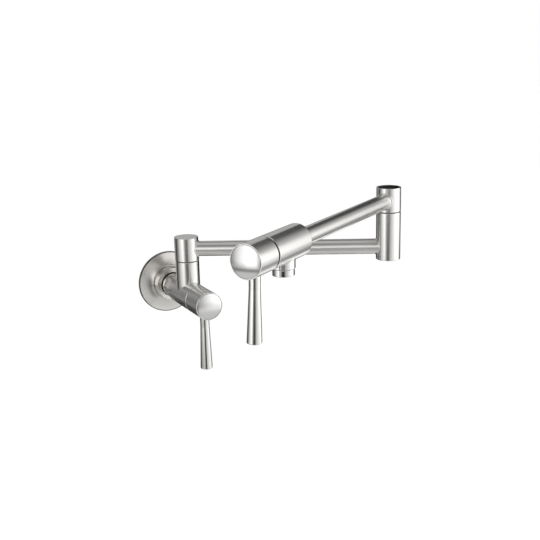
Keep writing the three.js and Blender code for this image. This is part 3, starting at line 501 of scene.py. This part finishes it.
# Riser, turning heads, elbow and their caps. The thrust washer lies in a shallow seat at the top of the riser
# and of the elbow.
swivel = {
    "radius": 12.9, "edge": 0.55, "bore": 10.2, "rim": 0.7, "cap": 1.4, "capGap": 0.25, "capDrop": 0.02,
    "capSeat": 1.7, "throat": 9.0, "throatDepth": 5.0, "washerSeat": 11.3, "washerDepth": 1, "pivotBore": 10.1,
    "riserStart": 8.0, "riserWaterway": 7.0, "riserFloor": 28.9,
    "elbowWaterway": 8.4, "elbowFloor": 79.4, "elbowWaterwayStart": 41.2,
}
riserTop, elbowTop = layout["shoulderSeam"] - halfSeam, layout["elbowSeam"] - halfSeam


def washerSeat(top):
    return [
        [swivel["radius"], top, swivel["edge"]], [swivel["washerSeat"], top, 0.2],
        [swivel["washerSeat"], top - swivel["washerDepth"]], [swivel["pivotBore"], top - swivel["washerDepth"]],
    ]


turnedPiece("riser", [
    [swivel["riserWaterway"], swivel["riserStart"]], [swivel["radius"], swivel["riserStart"]],
    *washerSeat(riserTop),
    [swivel["pivotBore"], swivel["riserFloor"]], [swivel["riserWaterway"], swivel["riserFloor"]],
], shoulder, up, "wall_side", nodes=["riser_tube"])
print("wall side made")


def swivelHead(name, capName, centre, seamHeight, body, headNode, capNode):
    base, top = seamHeight + halfSeam, seamHeight + layout["headHeight"]
    rimRadius = swivel["radius"] - swivel["rim"]
    capRadius, capTop = rimRadius - swivel["capGap"], top - swivel["capDrop"]
    turnedPiece(name, [
        [swivel["bore"], base, 0.2], [swivel["radius"], base, swivel["edge"]],
        [swivel["radius"], top, swivel["edge"]], [rimRadius, top, 0.12], [rimRadius, top - swivel["capSeat"]],
        [swivel["throat"], top - swivel["capSeat"]], [swivel["throat"], top - swivel["throatDepth"]],
        [swivel["bore"], top - swivel["throatDepth"]],
    ], centre, up, body, nodes=[headNode])
    turnedPiece(capName, [
        [0, top - swivel["cap"]], [capRadius, top - swivel["cap"], 0.1], [capRadius, capTop, 0.25], [0, capTop],
    ], centre, up, body, "nickelPolished", nodes=[capNode])


swivelHead("shoulderHead", "shoulderCap", shoulder, layout["shoulderSeam"], "first_arm",
           "shoulder_head", "shoulder_cap")
swivelHead("elbowHead", "elbowCap", elbow, layout["elbowSeam"], "second_arm", "elbow_head", "elbow_cap")
turnedPiece("elbowBody", [
    [0, layout["elbowBottom"]], [swivel["radius"], layout["elbowBottom"], 0.6],
    *washerSeat(elbowTop),
    [swivel["pivotBore"], swivel["elbowFloor"]], [swivel["elbowWaterway"], swivel["elbowFloor"]],
    [swivel["elbowWaterway"], swivel["elbowWaterwayStart"]], [0, swivel["elbowWaterwayStart"]],
], elbow, up, "first_arm", nodes=["elbow_body"])
print("swivels made")


# Geometry Nodes make the straight round bars, the beads along a saddle and the perforated plates. Each tree
# has its named lengths and counts, and a finish.
def newTree(name, lengths, counts=()):
    tree = bpy.data.node_groups.new(name, "GeometryNodeTree")
    tree.is_modifier = True
    addSocket(tree, "Geometry", "NodeSocketGeometry", out=True)
    for label, value in lengths:
        addSocket(tree, label, "NodeSocketFloat", value)
    for label, value in counts:
        addSocket(tree, label, "NodeSocketInt", value)
    addSocket(tree, "Finish", "NodeSocketMaterial")
    return tree, tree.links, addNode(tree, "NodeGroupInput").outputs


def endTree(tree, geometry, finish):
    real = addNode(tree, "GeometryNodeRealizeInstances")
    coat = addNode(tree, "GeometryNodeSetMaterial")
    tree.links.new(geometry, real.inputs[0])
    tree.links.new(real.outputs[0], coat.inputs["Geometry"])
    tree.links.new(finish, coat.inputs["Material"])
    tree.links.new(coat.outputs[0], addNode(tree, "NodeGroupOutput").inputs[0])


def positionParts(tree):
    spot = addNode(tree, "GeometryNodeInputPosition")
    apart = addNode(tree, "ShaderNodeSeparateXYZ")
    tree.links.new(spot.outputs[0], apart.inputs[0])
    return apart.outputs


def laidOut(tree, geometry, *places):
    together = addNode(tree, "ShaderNodeCombineXYZ")
    for value, socket in zip(places, together.inputs):
        tree.links.new(value, socket)
    laid = addNode(tree, "GeometryNodeSetPosition")
    tree.links.new(geometry, laid.inputs["Geometry"])
    tree.links.new(together.outputs[0], laid.inputs["Position"])
    return laid.outputs[0]


# Runs a tree on an empty mesh with its named sizes and gives back the plain mesh, moved to its place.
def grown(name, tree, sizes, place):
    holder = bpy.data.objects.new(name + "Maker", bpy.data.meshes.new(name + "Maker"))
    scene.collection.objects.link(holder)
    modifier = holder.modifiers.new("grow", "NODES")
    modifier.node_group = tree
    for item in tree.interface.items_tree:
        if item.item_type == "SOCKET" and item.in_out == "INPUT" and item.name in sizes:
            modifier[item.identifier] = sizes[item.name]
    ready = holder.evaluated_get(bpy.context.evaluated_depsgraph_get())
    mesh = bpy.data.meshes.new_from_object(ready)
    mesh.name = name
    bpy.data.objects.remove(holder)
    mesh.transform(place)
    shell = bmesh.new()
    shell.from_mesh(mesh)
    closeShell(shell, mesh)
    mesh.shade_smooth()
    return mesh


def placeAlong(origin, direction):
    centre, along, side, third = axisFrame(Vector(origin) * mm, direction)
    turn = Matrix((along, side, third)).transposed().to_4x4()
    return Matrix.Translation(centre) @ turn


# Grain for a piece grown along its own X: lines run round it.
def grainAlong(mesh, origin, direction):
    centre, along, side, third = axisFrame(Vector(origin) * mm, direction)
    places = []
    for vertex in mesh.vertices:
        away = vertex.co - centre
        places.append((away.dot(along), away.dot(side), away.dot(third)))
    writeGrain(mesh, places, [along] * len(mesh.vertices))


# A bar along X from Start to End, cut flat at both ends. Its radius is Neck over Neck Length and then widens
# evenly to Tip, whose end has a rounding of Tip Edge.
def makeBarTree():
    tree, links, given = newTree("roundBar", (
        ("Start", 0.0), ("End", 0.2), ("Neck", 0.008), ("Neck Length", 0.2), ("Tip", 0.008), ("Tip Edge", 0.0),
    ), (("Rings", 60), ("Facets", 96)))
    sheet = addNode(tree, "GeometryNodeMeshCylinder", fill_type="NGON")
    sheet.inputs["Radius"].default_value = 1
    length = calculate(tree, "SUBTRACT", given["End"], given["Start"])
    links.new(given["Facets"], sheet.inputs["Vertices"])
    links.new(given["Rings"], sheet.inputs["Side Segments"])
    links.new(length, sheet.inputs["Depth"])
    spot = positionParts(tree)
    run = calculate(tree, "MULTIPLY_ADD", length, 0.5, spot["Z"])
    past = calculate(tree, "SUBTRACT", run, given["Neck Length"])
    room = calculate(tree, "MAXIMUM", calculate(tree, "SUBTRACT", length, given["Neck Length"]), 1e-6)
    share = calculate(tree, "MAXIMUM", calculate(tree, "DIVIDE", past, room), 0.0)
    share = calculate(tree, "MINIMUM", share, 1.0)
    widening = calculate(tree, "SUBTRACT", given["Tip"], given["Neck"])
    radius = calculate(tree, "MULTIPLY_ADD", share, widening, given["Neck"])
    # the last few tenths of the tip are rounded in
    left = calculate(tree, "SUBTRACT", length, run)
    edge = calculate(tree, "MAXIMUM", given["Tip Edge"], 1e-7)
    depth = calculate(tree, "MAXIMUM", calculate(tree, "SUBTRACT", edge, left), 0.0)
    edgeSquared = calculate(tree, "MULTIPLY", edge, edge)
    depthSquared = calculate(tree, "MULTIPLY", depth, depth)
    squared = calculate(tree, "MAXIMUM", calculate(tree, "SUBTRACT", edgeSquared, depthSquared), 0.0)
    rounded = calculate(tree, "SUBTRACT", edge, calculate(tree, "SQRT", squared))
    radius = calculate(tree, "SUBTRACT", radius, rounded)
    x = calculate(tree, "ADD", run, given["Start"])
    y = calculate(tree, "MULTIPLY", spot["X"], radius)
    z = calculate(tree, "MULTIPLY", spot["Y"], radius)
    endTree(tree, laidOut(tree, sheet.outputs["Mesh"], x, y, z), given["Finish"])
    return tree


barTree = makeBarTree()


def roundBar(name, sizes, origin, direction, body, finish, nodes, rings=60):
    lengths = {key: value * mm for key, value in sizes.items()}
    mesh = grown(name, barTree, {**lengths, "Rings": rings, "Finish": finishes[finish]},
                 placeAlong(origin, direction))
    mesh.set_sharp_from_angle(angle=math.radians(sharpAngle["bar"]))
    grainAlong(mesh, origin, direction)
    finishPiece(mesh, name, None, body, nodes)


arm = {"radius": 8.15, "inset": 8.0, "secondEnd": 212.7}
for name, origin, way, end, body, finish in (
    ("firstArm", shoulder + up * firstArmHeight, firstWay, layout["firstReach"] - arm["inset"], "first_arm",
     "nickelArm"),
    ("secondArm", elbow + up * secondArmHeight, secondWay, arm["secondEnd"], "second_arm", "nickel"),
):
    roundBar(name, {
        "Start": arm["inset"], "End": end, "Neck": arm["radius"], "Tip": arm["radius"],
        "Neck Length": end - arm["inset"],
    }, origin, way, body, finish, [body + "_tube"])
print("arms made")


# The line where a small cylinder along X meets a big one along Z, as a thin bead of solder polished into both.
def makeBeadTree():
    tree, links, given = newTree("saddleBead", (
        ("Big Radius", 0.0129), ("Small Radius", 0.008), ("Bead Radius", 0.0005),
    ), (("Steps", 120), ("Facets", 12)))
    ring = addNode(tree, "GeometryNodeCurvePrimitiveCircle")
    links.new(given["Steps"], ring.inputs["Resolution"])
    links.new(given["Small Radius"], ring.inputs["Radius"])
    spot = positionParts(tree)
    across = calculate(tree, "MULTIPLY", spot["X"], spot["X"])
    big = calculate(tree, "MULTIPLY", given["Big Radius"], given["Big Radius"])
    reach = calculate(tree, "SQRT", calculate(tree, "MAXIMUM", calculate(tree, "SUBTRACT", big, across), 0.0))
    cord = addNode(tree, "GeometryNodeCurvePrimitiveCircle")
    links.new(given["Facets"], cord.inputs["Resolution"])
    links.new(given["Bead Radius"], cord.inputs["Radius"])
    swept = addNode(tree, "GeometryNodeCurveToMesh")
    links.new(laidOut(tree, ring.outputs[0], reach, spot["X"], spot["Y"]), swept.inputs["Curve"])
    links.new(cord.outputs[0], swept.inputs["Profile Curve"])
    endTree(tree, swept.outputs[0], given["Finish"])
    return tree


beadTree = makeBeadTree()


# bigAxis is the axis of the cylinder that is met, smallAxis points from it along the one that meets it.
def saddleBead(name, bigRadius, smallRadius, centre, bigAxis, smallAxis, body, bead=0.85):
    sizes = {"Big Radius": bigRadius * mm, "Small Radius": smallRadius * mm, "Bead Radius": bead * mm,
             "Finish": finishes["nickelPolished"]}
    along, tall = Vector(smallAxis).normalized(), Vector(bigAxis).normalized()
    side = tall.cross(along)
    place = Matrix.Translation(Vector(centre) * mm) @ Matrix((along, side, tall)).transposed().to_4x4()
    mesh = grown(name, beadTree, sizes, place)
    grainAlong(mesh, centre, smallAxis)
    finishPiece(mesh, name, None, body, ())


armOne, armTwo = up * firstArmHeight, elbow + up * secondArmHeight
saddleBead("riserBead", valve["radius"], swivel["radius"], shoulder, outwards, up, "wall_side", 0.6)
for name, centre, way, body in (
    ("shoulderBead", shoulder + armOne, firstWay, "first_arm"),
    ("elbowLowerBead", elbow + armOne, -firstWay, "first_arm"),
    ("elbowUpperBead", armTwo, secondWay, "second_arm"),
):
    saddleBead(name, swivel["radius"], arm["radius"], centre, up, way, body)

# Spout valve, neck and aerator. The valve's places are measured along the second arm, the others up from its
# axis.
spout = {
    "body": 57.0, "armBore": 8.25, "chamberFloor": 227.0, "grooveEdge": 0.8,
    "neck": 10.5, "neckBore": 8.5, "neckTop": 10.0, "neckDrop": 19.1,
}
spoutBack, spoutFace = layout["outletSeam"] - spout["body"], layout["outletSeam"] - valve["groove"]["outlet"]
turnedPiece("spoutValveBody", [
    [spout["armBore"], spoutBack, 0.3], [valve["radius"], spoutBack, valve["rearRounding"]],
    [valve["radius"], spoutFace, spout["grooveEdge"]], [valve["chamber"], spoutFace, 0.2],
    [valve["chamber"], spout["chamberFloor"]], [spout["armBore"], spout["chamberFloor"]],
], armTwo, secondWay, "second_arm", nodes=["outlet_valve_body"])

spoutFoot = armTwo + secondWay * layout["secondReach"]
turnedPiece("spoutNeck", [
    [spout["neckBore"], -spout["neckDrop"], 0.3], [spout["neck"], -spout["neckDrop"], 0.5],
    [spout["neck"], -spout["neckTop"]], [spout["neckBore"], -spout["neckTop"]],
], spoutFoot, up, "second_arm", nodes=["outlet_neck"])
saddleBead("neckBead", valve["radius"], spout["neck"], spoutFoot, secondWay, -up, "second_arm", 0.5)

aerator = {
    "radius": 9.75, "bottom": -25.3, "mouth": 6.3, "seat": 0.7, "bore": 7.0, "thread": 8.2, "threadTop": -15.6,
    "gap": 0.3,
}
aeratorTop, aeratorSeat = -spout["neckDrop"] - aerator["gap"], aerator["bottom"] + aerator["seat"]
turnedPiece("aeratorRing", [
    [aerator["mouth"], aerator["bottom"], 0.25], [aerator["radius"], aerator["bottom"], 0.5],
    [aerator["radius"], aeratorTop, 0.4], [aerator["thread"], aeratorTop],
    [aerator["thread"], aerator["threadTop"], 0.3], [aerator["bore"], aerator["threadTop"]],
    [aerator["bore"], aeratorSeat], [aerator["mouth"], aeratorSeat],
], spoutFoot, up, "second_arm", "nickelPolished", nodes=["aerator_housing"])


# Flat round plate about Z with round holes on a triangular pitch, each hole a real one. The lattice reaches
# past the plate's edge, and a hole is kept where its middle is more than Margin of its radii inside.
def makePerforatedTree():
    tree, links, given = newTree("perforatedPlate", (
        ("Radius", 0.0067), ("Hole Radius", 0.0004), ("Pitch", 0.0013), ("Thickness", 0.0008), ("Margin", 2.2),
    ), (("Lattice Points", 25), ("Hole Facets", 12), ("Rim Facets", 96)))
    lattice = addNode(tree, "GeometryNodeMeshGrid")
    for axis in ("X", "Y"):
        links.new(given["Lattice Points"], lattice.inputs["Vertices " + axis])
    gaps = calculate(tree, "SUBTRACT", given["Lattice Points"], 1.0)
    span = calculate(tree, "MULTIPLY", given["Pitch"], gaps)
    links.new(span, lattice.inputs["Size X"])
    links.new(calculate(tree, "MULTIPLY", span, math.sqrt(3) / 2), lattice.inputs["Size Y"])
    spot = positionParts(tree)
    row = calculate(tree, "DIVIDE", spot["Y"], calculate(tree, "MULTIPLY", given["Pitch"], math.sqrt(3) / 2))
    odd = calculate(tree, "FLOORED_MODULO", calculate(tree, "ROUND", row), 2.0)
    shifted = calculate(tree, "MULTIPLY_ADD", odd, calculate(tree, "MULTIPLY", given["Pitch"], 0.5), spot["X"])
    staggered = laidOut(tree, lattice.outputs["Mesh"], shifted, spot["Y"])
    reach = addNode(tree, "ShaderNodeVectorMath", operation="LENGTH")
    links.new(addNode(tree, "GeometryNodeInputPosition").outputs[0], reach.inputs[0])
    margin = calculate(tree, "MULTIPLY", given["Hole Radius"], given["Margin"])
    edge = calculate(tree, "SUBTRACT", given["Radius"], margin)
    inside = calculate(tree, "LESS_THAN", reach.outputs["Value"], edge)
    points = addNode(tree, "GeometryNodeInstanceOnPoints")
    hole = addNode(tree, "GeometryNodeCurvePrimitiveCircle")
    links.new(given["Hole Facets"], hole.inputs["Resolution"])
    links.new(given["Hole Radius"], hole.inputs["Radius"])
    links.new(staggered, points.inputs["Points"])
    links.new(inside, points.inputs["Selection"])
    links.new(hole.outputs[0], points.inputs["Instance"])
    holes = addNode(tree, "GeometryNodeRealizeInstances")
    links.new(points.outputs[0], holes.inputs[0])
    rim = addNode(tree, "GeometryNodeCurvePrimitiveCircle")
    links.new(given["Rim Facets"], rim.inputs["Resolution"])
    links.new(given["Radius"], rim.inputs["Radius"])
    gathered = addNode(tree, "GeometryNodeJoinGeometry")
    links.new(rim.outputs[0], gathered.inputs[0])
    links.new(holes.outputs[0], gathered.inputs[0])
    filled = addNode(tree, "GeometryNodeFillCurve")
    links.new(gathered.outputs[0], filled.inputs[0])
    slab = addNode(tree, "GeometryNodeExtrudeMesh")
    slab.inputs["Individual"].default_value = False
    links.new(filled.outputs[0], slab.inputs["Mesh"])
    links.new(given["Thickness"], slab.inputs["Offset Scale"])
    closed = addNode(tree, "GeometryNodeJoinGeometry")
    links.new(filled.outputs[0], closed.inputs[0])
    links.new(slab.outputs["Mesh"], closed.inputs[0])
    welded = addNode(tree, "GeometryNodeMergeByDistance")
    welded.inputs["Distance"].default_value = 1e-6
    links.new(closed.outputs[0], welded.inputs["Geometry"])
    endTree(tree, welded.outputs[0], given["Finish"])
    return tree


plateTree = makePerforatedTree()


def perforatedPlate(name, sizes, finish, origin, direction, body, nodes):
    centre, along, side, third = axisFrame(Vector(origin) * mm, direction)
    place = Matrix.Translation(centre) @ Matrix((side, third, along)).transposed().to_4x4()
    lengths = {key: value * mm for key, value in sizes.items()}
    mesh = grown(name, plateTree, {**lengths, "Finish": finishes[finish]}, place)
    mesh.shade_flat()
    finishPiece(mesh, name, None, body, nodes)


aeratorScreen = {"Radius": 6.7, "Hole Radius": 0.42, "Pitch": 1.25, "Thickness": 0.8}
supplyScreen = {"Radius": 9.3, "Hole Radius": 0.45, "Pitch": 1.4, "Thickness": 0.9}
screenPlace = {"aeratorRise": 1.0, "supplyDepth": 10.9}
perforatedPlate("aeratorScreen", aeratorScreen, "plasticWhite",
                spoutFoot + up * (aerator["bottom"] + screenPlace["aeratorRise"]), up,
                "second_arm", ["aerator_insert"])
perforatedPlate("supplyScreen", supplyScreen, "steelPlain", outwards * screenPlace["supplyDepth"], outwards,
                "wall_side", ["inlet_screen"])
print("spout made")

# Handles: hub, domed cap and lever. Places are measured from the seam between valve and handle, and along the
# lever from the valve's axis.
handle = {
    "hub": 29.0, "capSeat": 27.0, "rimRadius": 14.15, "capRadius": 13.8, "capGap": 0.3, "domeRise": 2.2,
    "domeSteps": 16, "screwBore": 5.5, "screwSeat": 16, "spindleBore": 4.2, "chamberEnd": 5.5,
    "leverInset": 14.9, "leverStart": 10.0, "neck": 4.9, "neckEnd": 25.9, "tip": 6.6, "reach": 72.2,
    "tipEdge": 0.7, "leverRings": 220, "outletLean": -2,
}


def addHandle(side, centre, way, seamPlace, lean=0):
    body = side + "_handle"
    start, front = seamPlace + valve["groove"][side], seamPlace + handle["hub"]
    capSeat, screwSeat, chamberEnd = (seamPlace + handle[key] for key in ("capSeat", "screwSeat", "chamberEnd"))
    turnedPiece(side + "Hub", [
        [valve["chamber"], start, 0.2], [valve["radius"], start, valve["edge"]], [valve["radius"], front, 0.4],
        [handle["rimRadius"], front, 0.1], [handle["rimRadius"], capSeat], [handle["screwBore"], capSeat],
        [handle["screwBore"], screwSeat], [handle["spindleBore"], screwSeat],
        [handle["spindleBore"], chamberEnd], [valve["chamber"], chamberEnd],
    ], centre, way, body, nodes=[side + "_handle_hub"])
    radius, rise = handle["capRadius"], handle["domeRise"]
    sphere = (radius ** 2 + rise ** 2) / (2 * rise)
    dome = []
    for step in range(handle["domeSteps"]):
        r = radius * (1 - step / handle["domeSteps"])
        dome.append([r, front + rise - sphere + math.sqrt(sphere ** 2 - r ** 2), 0.3 if step == 0 else 0])
    capBack = capSeat + handle["capGap"]
    turnedPiece(side + "DomedCap", [
        [0, capBack], [radius, capBack, 0.1], *dome, [0, front + rise],
    ], centre, way, body, "nickelPolished", nodes=[side + "_handle_cap"])
    hang = Matrix.Rotation(math.radians(lean), 3, way) @ -up
    roundBar(side + "Lever", {
        "Start": handle["leverStart"], "End": handle["reach"], "Neck": handle["neck"],
        "Neck Length": handle["neckEnd"] - handle["leverStart"],
        "Tip": handle["tip"], "Tip Edge": handle["tipEdge"],
    }, centre + way * (seamPlace + handle["leverInset"]), hang, body, "nickelLever", [side + "_lever"],
        handle["leverRings"])


# black ring at the bottom of the spout valve's groove: painted shade that makes the groove read dark
grooveShadeRing = {"inner": 11.5, "outer": 14.4, "halfWidth": 1.05}
turnedPiece("spoutGroovePaintedShade", [
    [grooveShadeRing["inner"], -grooveShadeRing["halfWidth"], 0.1], [grooveShadeRing["outer"], -grooveShadeRing["halfWidth"], 0.15],
    [grooveShadeRing["outer"], grooveShadeRing["halfWidth"], 0.15], [grooveShadeRing["inner"], grooveShadeRing["halfWidth"], 0.1],
], armTwo + secondWay * layout["outletSeam"], secondWay, "second_arm", "rubberBlack")
addHandle("inlet", wallCentre, outwards, layout["inletSeam"])
addHandle("outlet", armTwo, secondWay, layout["outletSeam"], handle["outletLean"])
print("handles made")

# finishes on all CAD nodes, which show on those that stay
nodeFinish = {
    "brass": "brassTurned", "stainless": "steelPlain", "rubber": "rubberBlack", "slip_plastic": "acetalDark",
    "ceramic": "ceramicWhite", "white_plastic": "plasticWhite", "brushed_nickel": "nickel",
}
for part in frame["record"]["subparts"]:
    node = frame["nodes"][part["node"]]
    node.data.materials.clear()
    node.data.materials.append(finishes[nodeFinish[part["material_slot"]]])


# Studio
def directionFrom(azimuth, elevation):
    a, e = math.radians(azimuth), math.radians(elevation)
    return Vector((math.sin(a) * math.cos(e), -math.cos(a) * math.cos(e), math.sin(e)))


middle = Vector((0.06, -0.18, 0.05))

# Light tent that only the metal sees: a pale ball of cloth with soft boxes and dark flags on it. Azimuth 0 is
# straight out from the wall, 90 to the right. A box or flag is full over its half sizes and fades out over the
# fades after them: to the left, to the right, upwards and downwards. The cloth's own level goes by elevation.
tent = {
    "radius": 1.1, "columns": 240, "rows": 120,
    "cloth": [(-90, 0.6), (-27, 0.66), (-14, 0.25), (20, 0.2), (34, 0.22), (52, 0.26), (64, 0.3), (72, 0.8),
              (80, 0.6), (90, 0.5)],
}
boardKeys = ("azimuth", "width", "fadeLeft", "fadeRight", "elevation", "height", "fadeUp", "fadeDown", "level")
tentBoxes = {
    "leftBank": (-71, 12, 38, 12, 6, 14, 24, 18, 1.0),
    "leftStrip": (-69, 7, 9, 10, 0, 8, 24, 16, 0.45),
    "frontBox": (-35, 10, 10, 10, 9, 9, 10, 12, 0.85),
    "rightBank": (56, 6, 84, 20, 10, 10, 20, 41, 1.3),
    "rightStrip": (52, 9, 14, 12, 4, 10, 20, 14, 0.25),
    "sideBox": (84, 12, 20, 22, -6, 8, 48, 22, 0.86),
    "backBox": (160, 17, 4, 10, 25, 8, 10, 14, 0.35),
    "backStrip": (-174, 2, 3, 3, 24, 18, 10, 10, 0.6),
    "wallGlow": (-160, 10, 10, 10, 0, 12, 12, 8, 0.2),
    "tableEdge": (122, 6, 3, 3, -45, 16, 5, 20, 1.1),
}
tentFlags = {
    "cameraFlag": (-29, 9, 10, 8, -29, 22, 9, 15, 0.9),
    "rightFlag": (122, 20, 5, 5, -1, 17, 6, 6, 0.95),
    "highFlag": (128, 9, 18, 3, 31, 16, 10, 8, 0.8),
    "lowFlag": (110, 5, 12, 3, -26, 20, 8, 14, 0.6),
    "grazeFlag": (99, 8, 6, 4, -22, 8, 7, 8, 0.65),
    "backFlag": (163, 27, 4, 7, -36, 26, 8, 10, 0.95),
    "wallFlag": (-165, 22, 8, 8, -38, 14, 8, 10, 0.88),
    "leftFlag": (-143, 6, 6, 16, -13, 26, 10, 10, 0.82),
    "leftHorizon": (-78, 44, 10, 10, -24, 1, 5, 3, 0.6),
}
boxes, flags = ([dict(zip(boardKeys, row)) for row in group.values()] for group in (tentBoxes, tentFlags))


def fadeOut(distance, full, fade):
    t = min(max((abs(distance) - full) / fade, 0), 1)
    return 1 - t * t * (3 - 2 * t)


def share(board, azimuth, elevation):
    across = (azimuth - board["azimuth"] + 180) % 360 - 180
    tall = elevation - board["elevation"]
    return (fadeOut(across, board["width"], board["fadeRight" if across > 0 else "fadeLeft"])
            * fadeOut(tall, board["height"], board["fadeUp" if tall > 0 else "fadeDown"]))


def tentLevel(azimuth, elevation):
    level = 0
    for (a, low), (b, high) in zip(tent["cloth"], tent["cloth"][1:]):
        if a <= elevation <= b:
            level = low + (high - low) * (elevation - a) / (b - a)
    level += sum(box["level"] * share(box, azimuth, elevation) for box in boxes)
    for flag in flags:
        level *= 1 - flag["level"] * share(flag, azimuth, elevation)
    return level


def addTent():
    points, faces, levels = [], [], []
    columns, rows = tent["columns"], tent["rows"]
    for i in range(rows + 1):
        elevation = -90 + 180 * i / rows
        for k in range(columns):
            azimuth = -180 + 360 * k / columns
            points.append(middle + directionFrom(azimuth, elevation) * tent["radius"])
            levels.append(tentLevel(azimuth, elevation))
    for i in range(rows):
        for k in range(columns):
            n = (k + 1) % columns
            faces.append((i * columns + k, (i + 1) * columns + k, (i + 1) * columns + n, i * columns + n))
    mesh = bpy.data.meshes.new("lightTent")
    mesh.from_pydata(points, [], faces)
    mesh.attributes.new("level", "FLOAT", "POINT").data.foreach_set("value", levels)
    board = bpy.data.objects.new("lightTent", mesh)
    scene.collection.objects.link(board)
    cloth = bpy.data.materials.new("tentCloth")
    cloth.use_nodes = True
    cloth.cycles.emission_sampling = "NONE"
    nodes, links = cloth.node_tree.nodes, cloth.node_tree.links
    nodes.clear()
    level = nodes.new("ShaderNodeAttribute")
    level.attribute_name = "level"
    glow = nodes.new("ShaderNodeEmission")
    links.new(level.outputs["Fac"], glow.inputs["Strength"])
    result = nodes.new("ShaderNodeOutputMaterial")
    links.new(glow.outputs[0], result.inputs["Surface"])
    mesh.materials.append(cloth)
    for ray in ("camera", "diffuse", "shadow", "transmission"):
        setattr(board, "visible_" + ray, False)


addTent()


# White where the camera, a reflection or glass looks at it, and a plain light level for everything else.
def backdropMix(tree, whiteShader, plainShader, result):
    path = addNode(tree, "ShaderNodeLightPath").outputs
    seen = calculate(tree, "MAXIMUM", path["Is Camera Ray"], path["Is Glossy Ray"])
    seen = calculate(tree, "MAXIMUM", seen, path["Is Transmission Ray"])
    mix = addNode(tree, "ShaderNodeMixShader")
    tree.links.new(seen, mix.inputs["Fac"])
    tree.links.new(plainShader, mix.inputs[1])
    tree.links.new(whiteShader, mix.inputs[2])
    tree.links.new(mix.outputs[0], result)


studio = {
    "worldLevel": 0.55, "floorHeight": -1.1, "floorReach": 14.0, "floorShade": 0.86, "floorRoughness": 0.9,
    "floorLift": 0.5,
}
world = bpy.data.worlds.new("studioWorld")
scene.world = world
world.use_nodes = True
nodes = world.node_tree.nodes
plainSky = nodes["Background"]
plainSky.inputs["Color"].default_value = (1, 1, 1, 1)
plainSky.inputs["Strength"].default_value = studio["worldLevel"]
whiteSky = nodes.new("ShaderNodeBackground")
whiteSky.inputs["Color"].default_value = (1, 1, 1, 1)
backdropMix(world.node_tree, whiteSky.outputs[0], plainSky.outputs[0], nodes["World Output"].inputs["Surface"])

floorMesh = bpy.data.meshes.new("studioFloor")
reach = studio["floorReach"]
corners = [(-reach, -reach, 0), (reach, -reach, 0), (reach, reach, 0), (-reach, reach, 0)]
floorMesh.from_pydata(corners, [], [(0, 1, 2, 3)])
floor = bpy.data.objects.new("studioFloor", floorMesh)
scene.collection.objects.link(floor)
floor.location.z = studio["floorHeight"]
floorPaint, nodes, links, shader = newMaterial("floorPaint")
shader.inputs["Base Color"].default_value = (*[studio["floorShade"]] * 3, 1)
shader.inputs["Roughness"].default_value = studio["floorRoughness"]
whiteFloor = nodes.new("ShaderNodeEmission")
whiteFloor.inputs["Strength"].default_value = studio["floorLift"]
bright = nodes.new("ShaderNodeAddShader")
links.new(shader.outputs[0], bright.inputs[0])
links.new(whiteFloor.outputs[0], bright.inputs[1])
floorSurface = nodes["Material Output"].inputs["Surface"]
backdropMix(floorPaint.node_tree, bright.outputs[0], shader.outputs[0], floorSurface)
floorMesh.materials.append(floorPaint)

lamps = {
    "keyLamp": {"azimuth": -35, "elevation": 50, "distance": 1.8, "size": 1.2, "power": 18},
    "fillLamp": {"azimuth": 55, "elevation": 30, "distance": 2.0, "size": 1.5, "power": 10},
}
for lampName, lamp in lamps.items():
    data = bpy.data.lights.new(lampName, "AREA")
    data.size = lamp["size"]
    data.energy = lamp["power"]
    light = bpy.data.objects.new(lampName, data)
    scene.collection.objects.link(light)
    away = directionFrom(lamp["azimuth"], lamp["elevation"])
    light.location = middle + away * lamp["distance"]
    light.rotation_euler = away.to_track_quat("Z", "Y").to_euler()
    light.visible_camera = False
    light.visible_glossy = False

# Camera: place in metres, turns in degrees, lens and sensor in millimetres.
view = {
    "place": (-0.3598, -0.9569, 0.2791), "yaw": 27.24, "pitch": 14.85, "roll": -1.36,
    "lens": 61.03, "sensor": 36,
}
yaw, pitch, roll = (math.radians(view[key]) for key in ("yaw", "pitch", "roll"))
forward = Vector((math.sin(yaw) * math.cos(pitch), math.cos(yaw) * math.cos(pitch), -math.sin(pitch)))
right = Vector((math.cos(yaw), -math.sin(yaw), 0))
top = right.cross(forward)
tiltedRight = right * math.cos(roll) + top * math.sin(roll)
tiltedTop = top * math.cos(roll) - right * math.sin(roll)
cameraData = bpy.data.cameras.new("photoCamera")
cameraData.lens = view["lens"]
cameraData.sensor_width = view["sensor"]
camera = bpy.data.objects.new("photoCamera", cameraData)
scene.collection.objects.link(camera)
aim = Matrix((tiltedRight, tiltedTop, -forward)).transposed().to_4x4()
camera.matrix_world = Matrix.Translation(view["place"]) @ aim
scene.camera = camera

scene.view_settings.view_transform = "Standard"
print("scene ready")
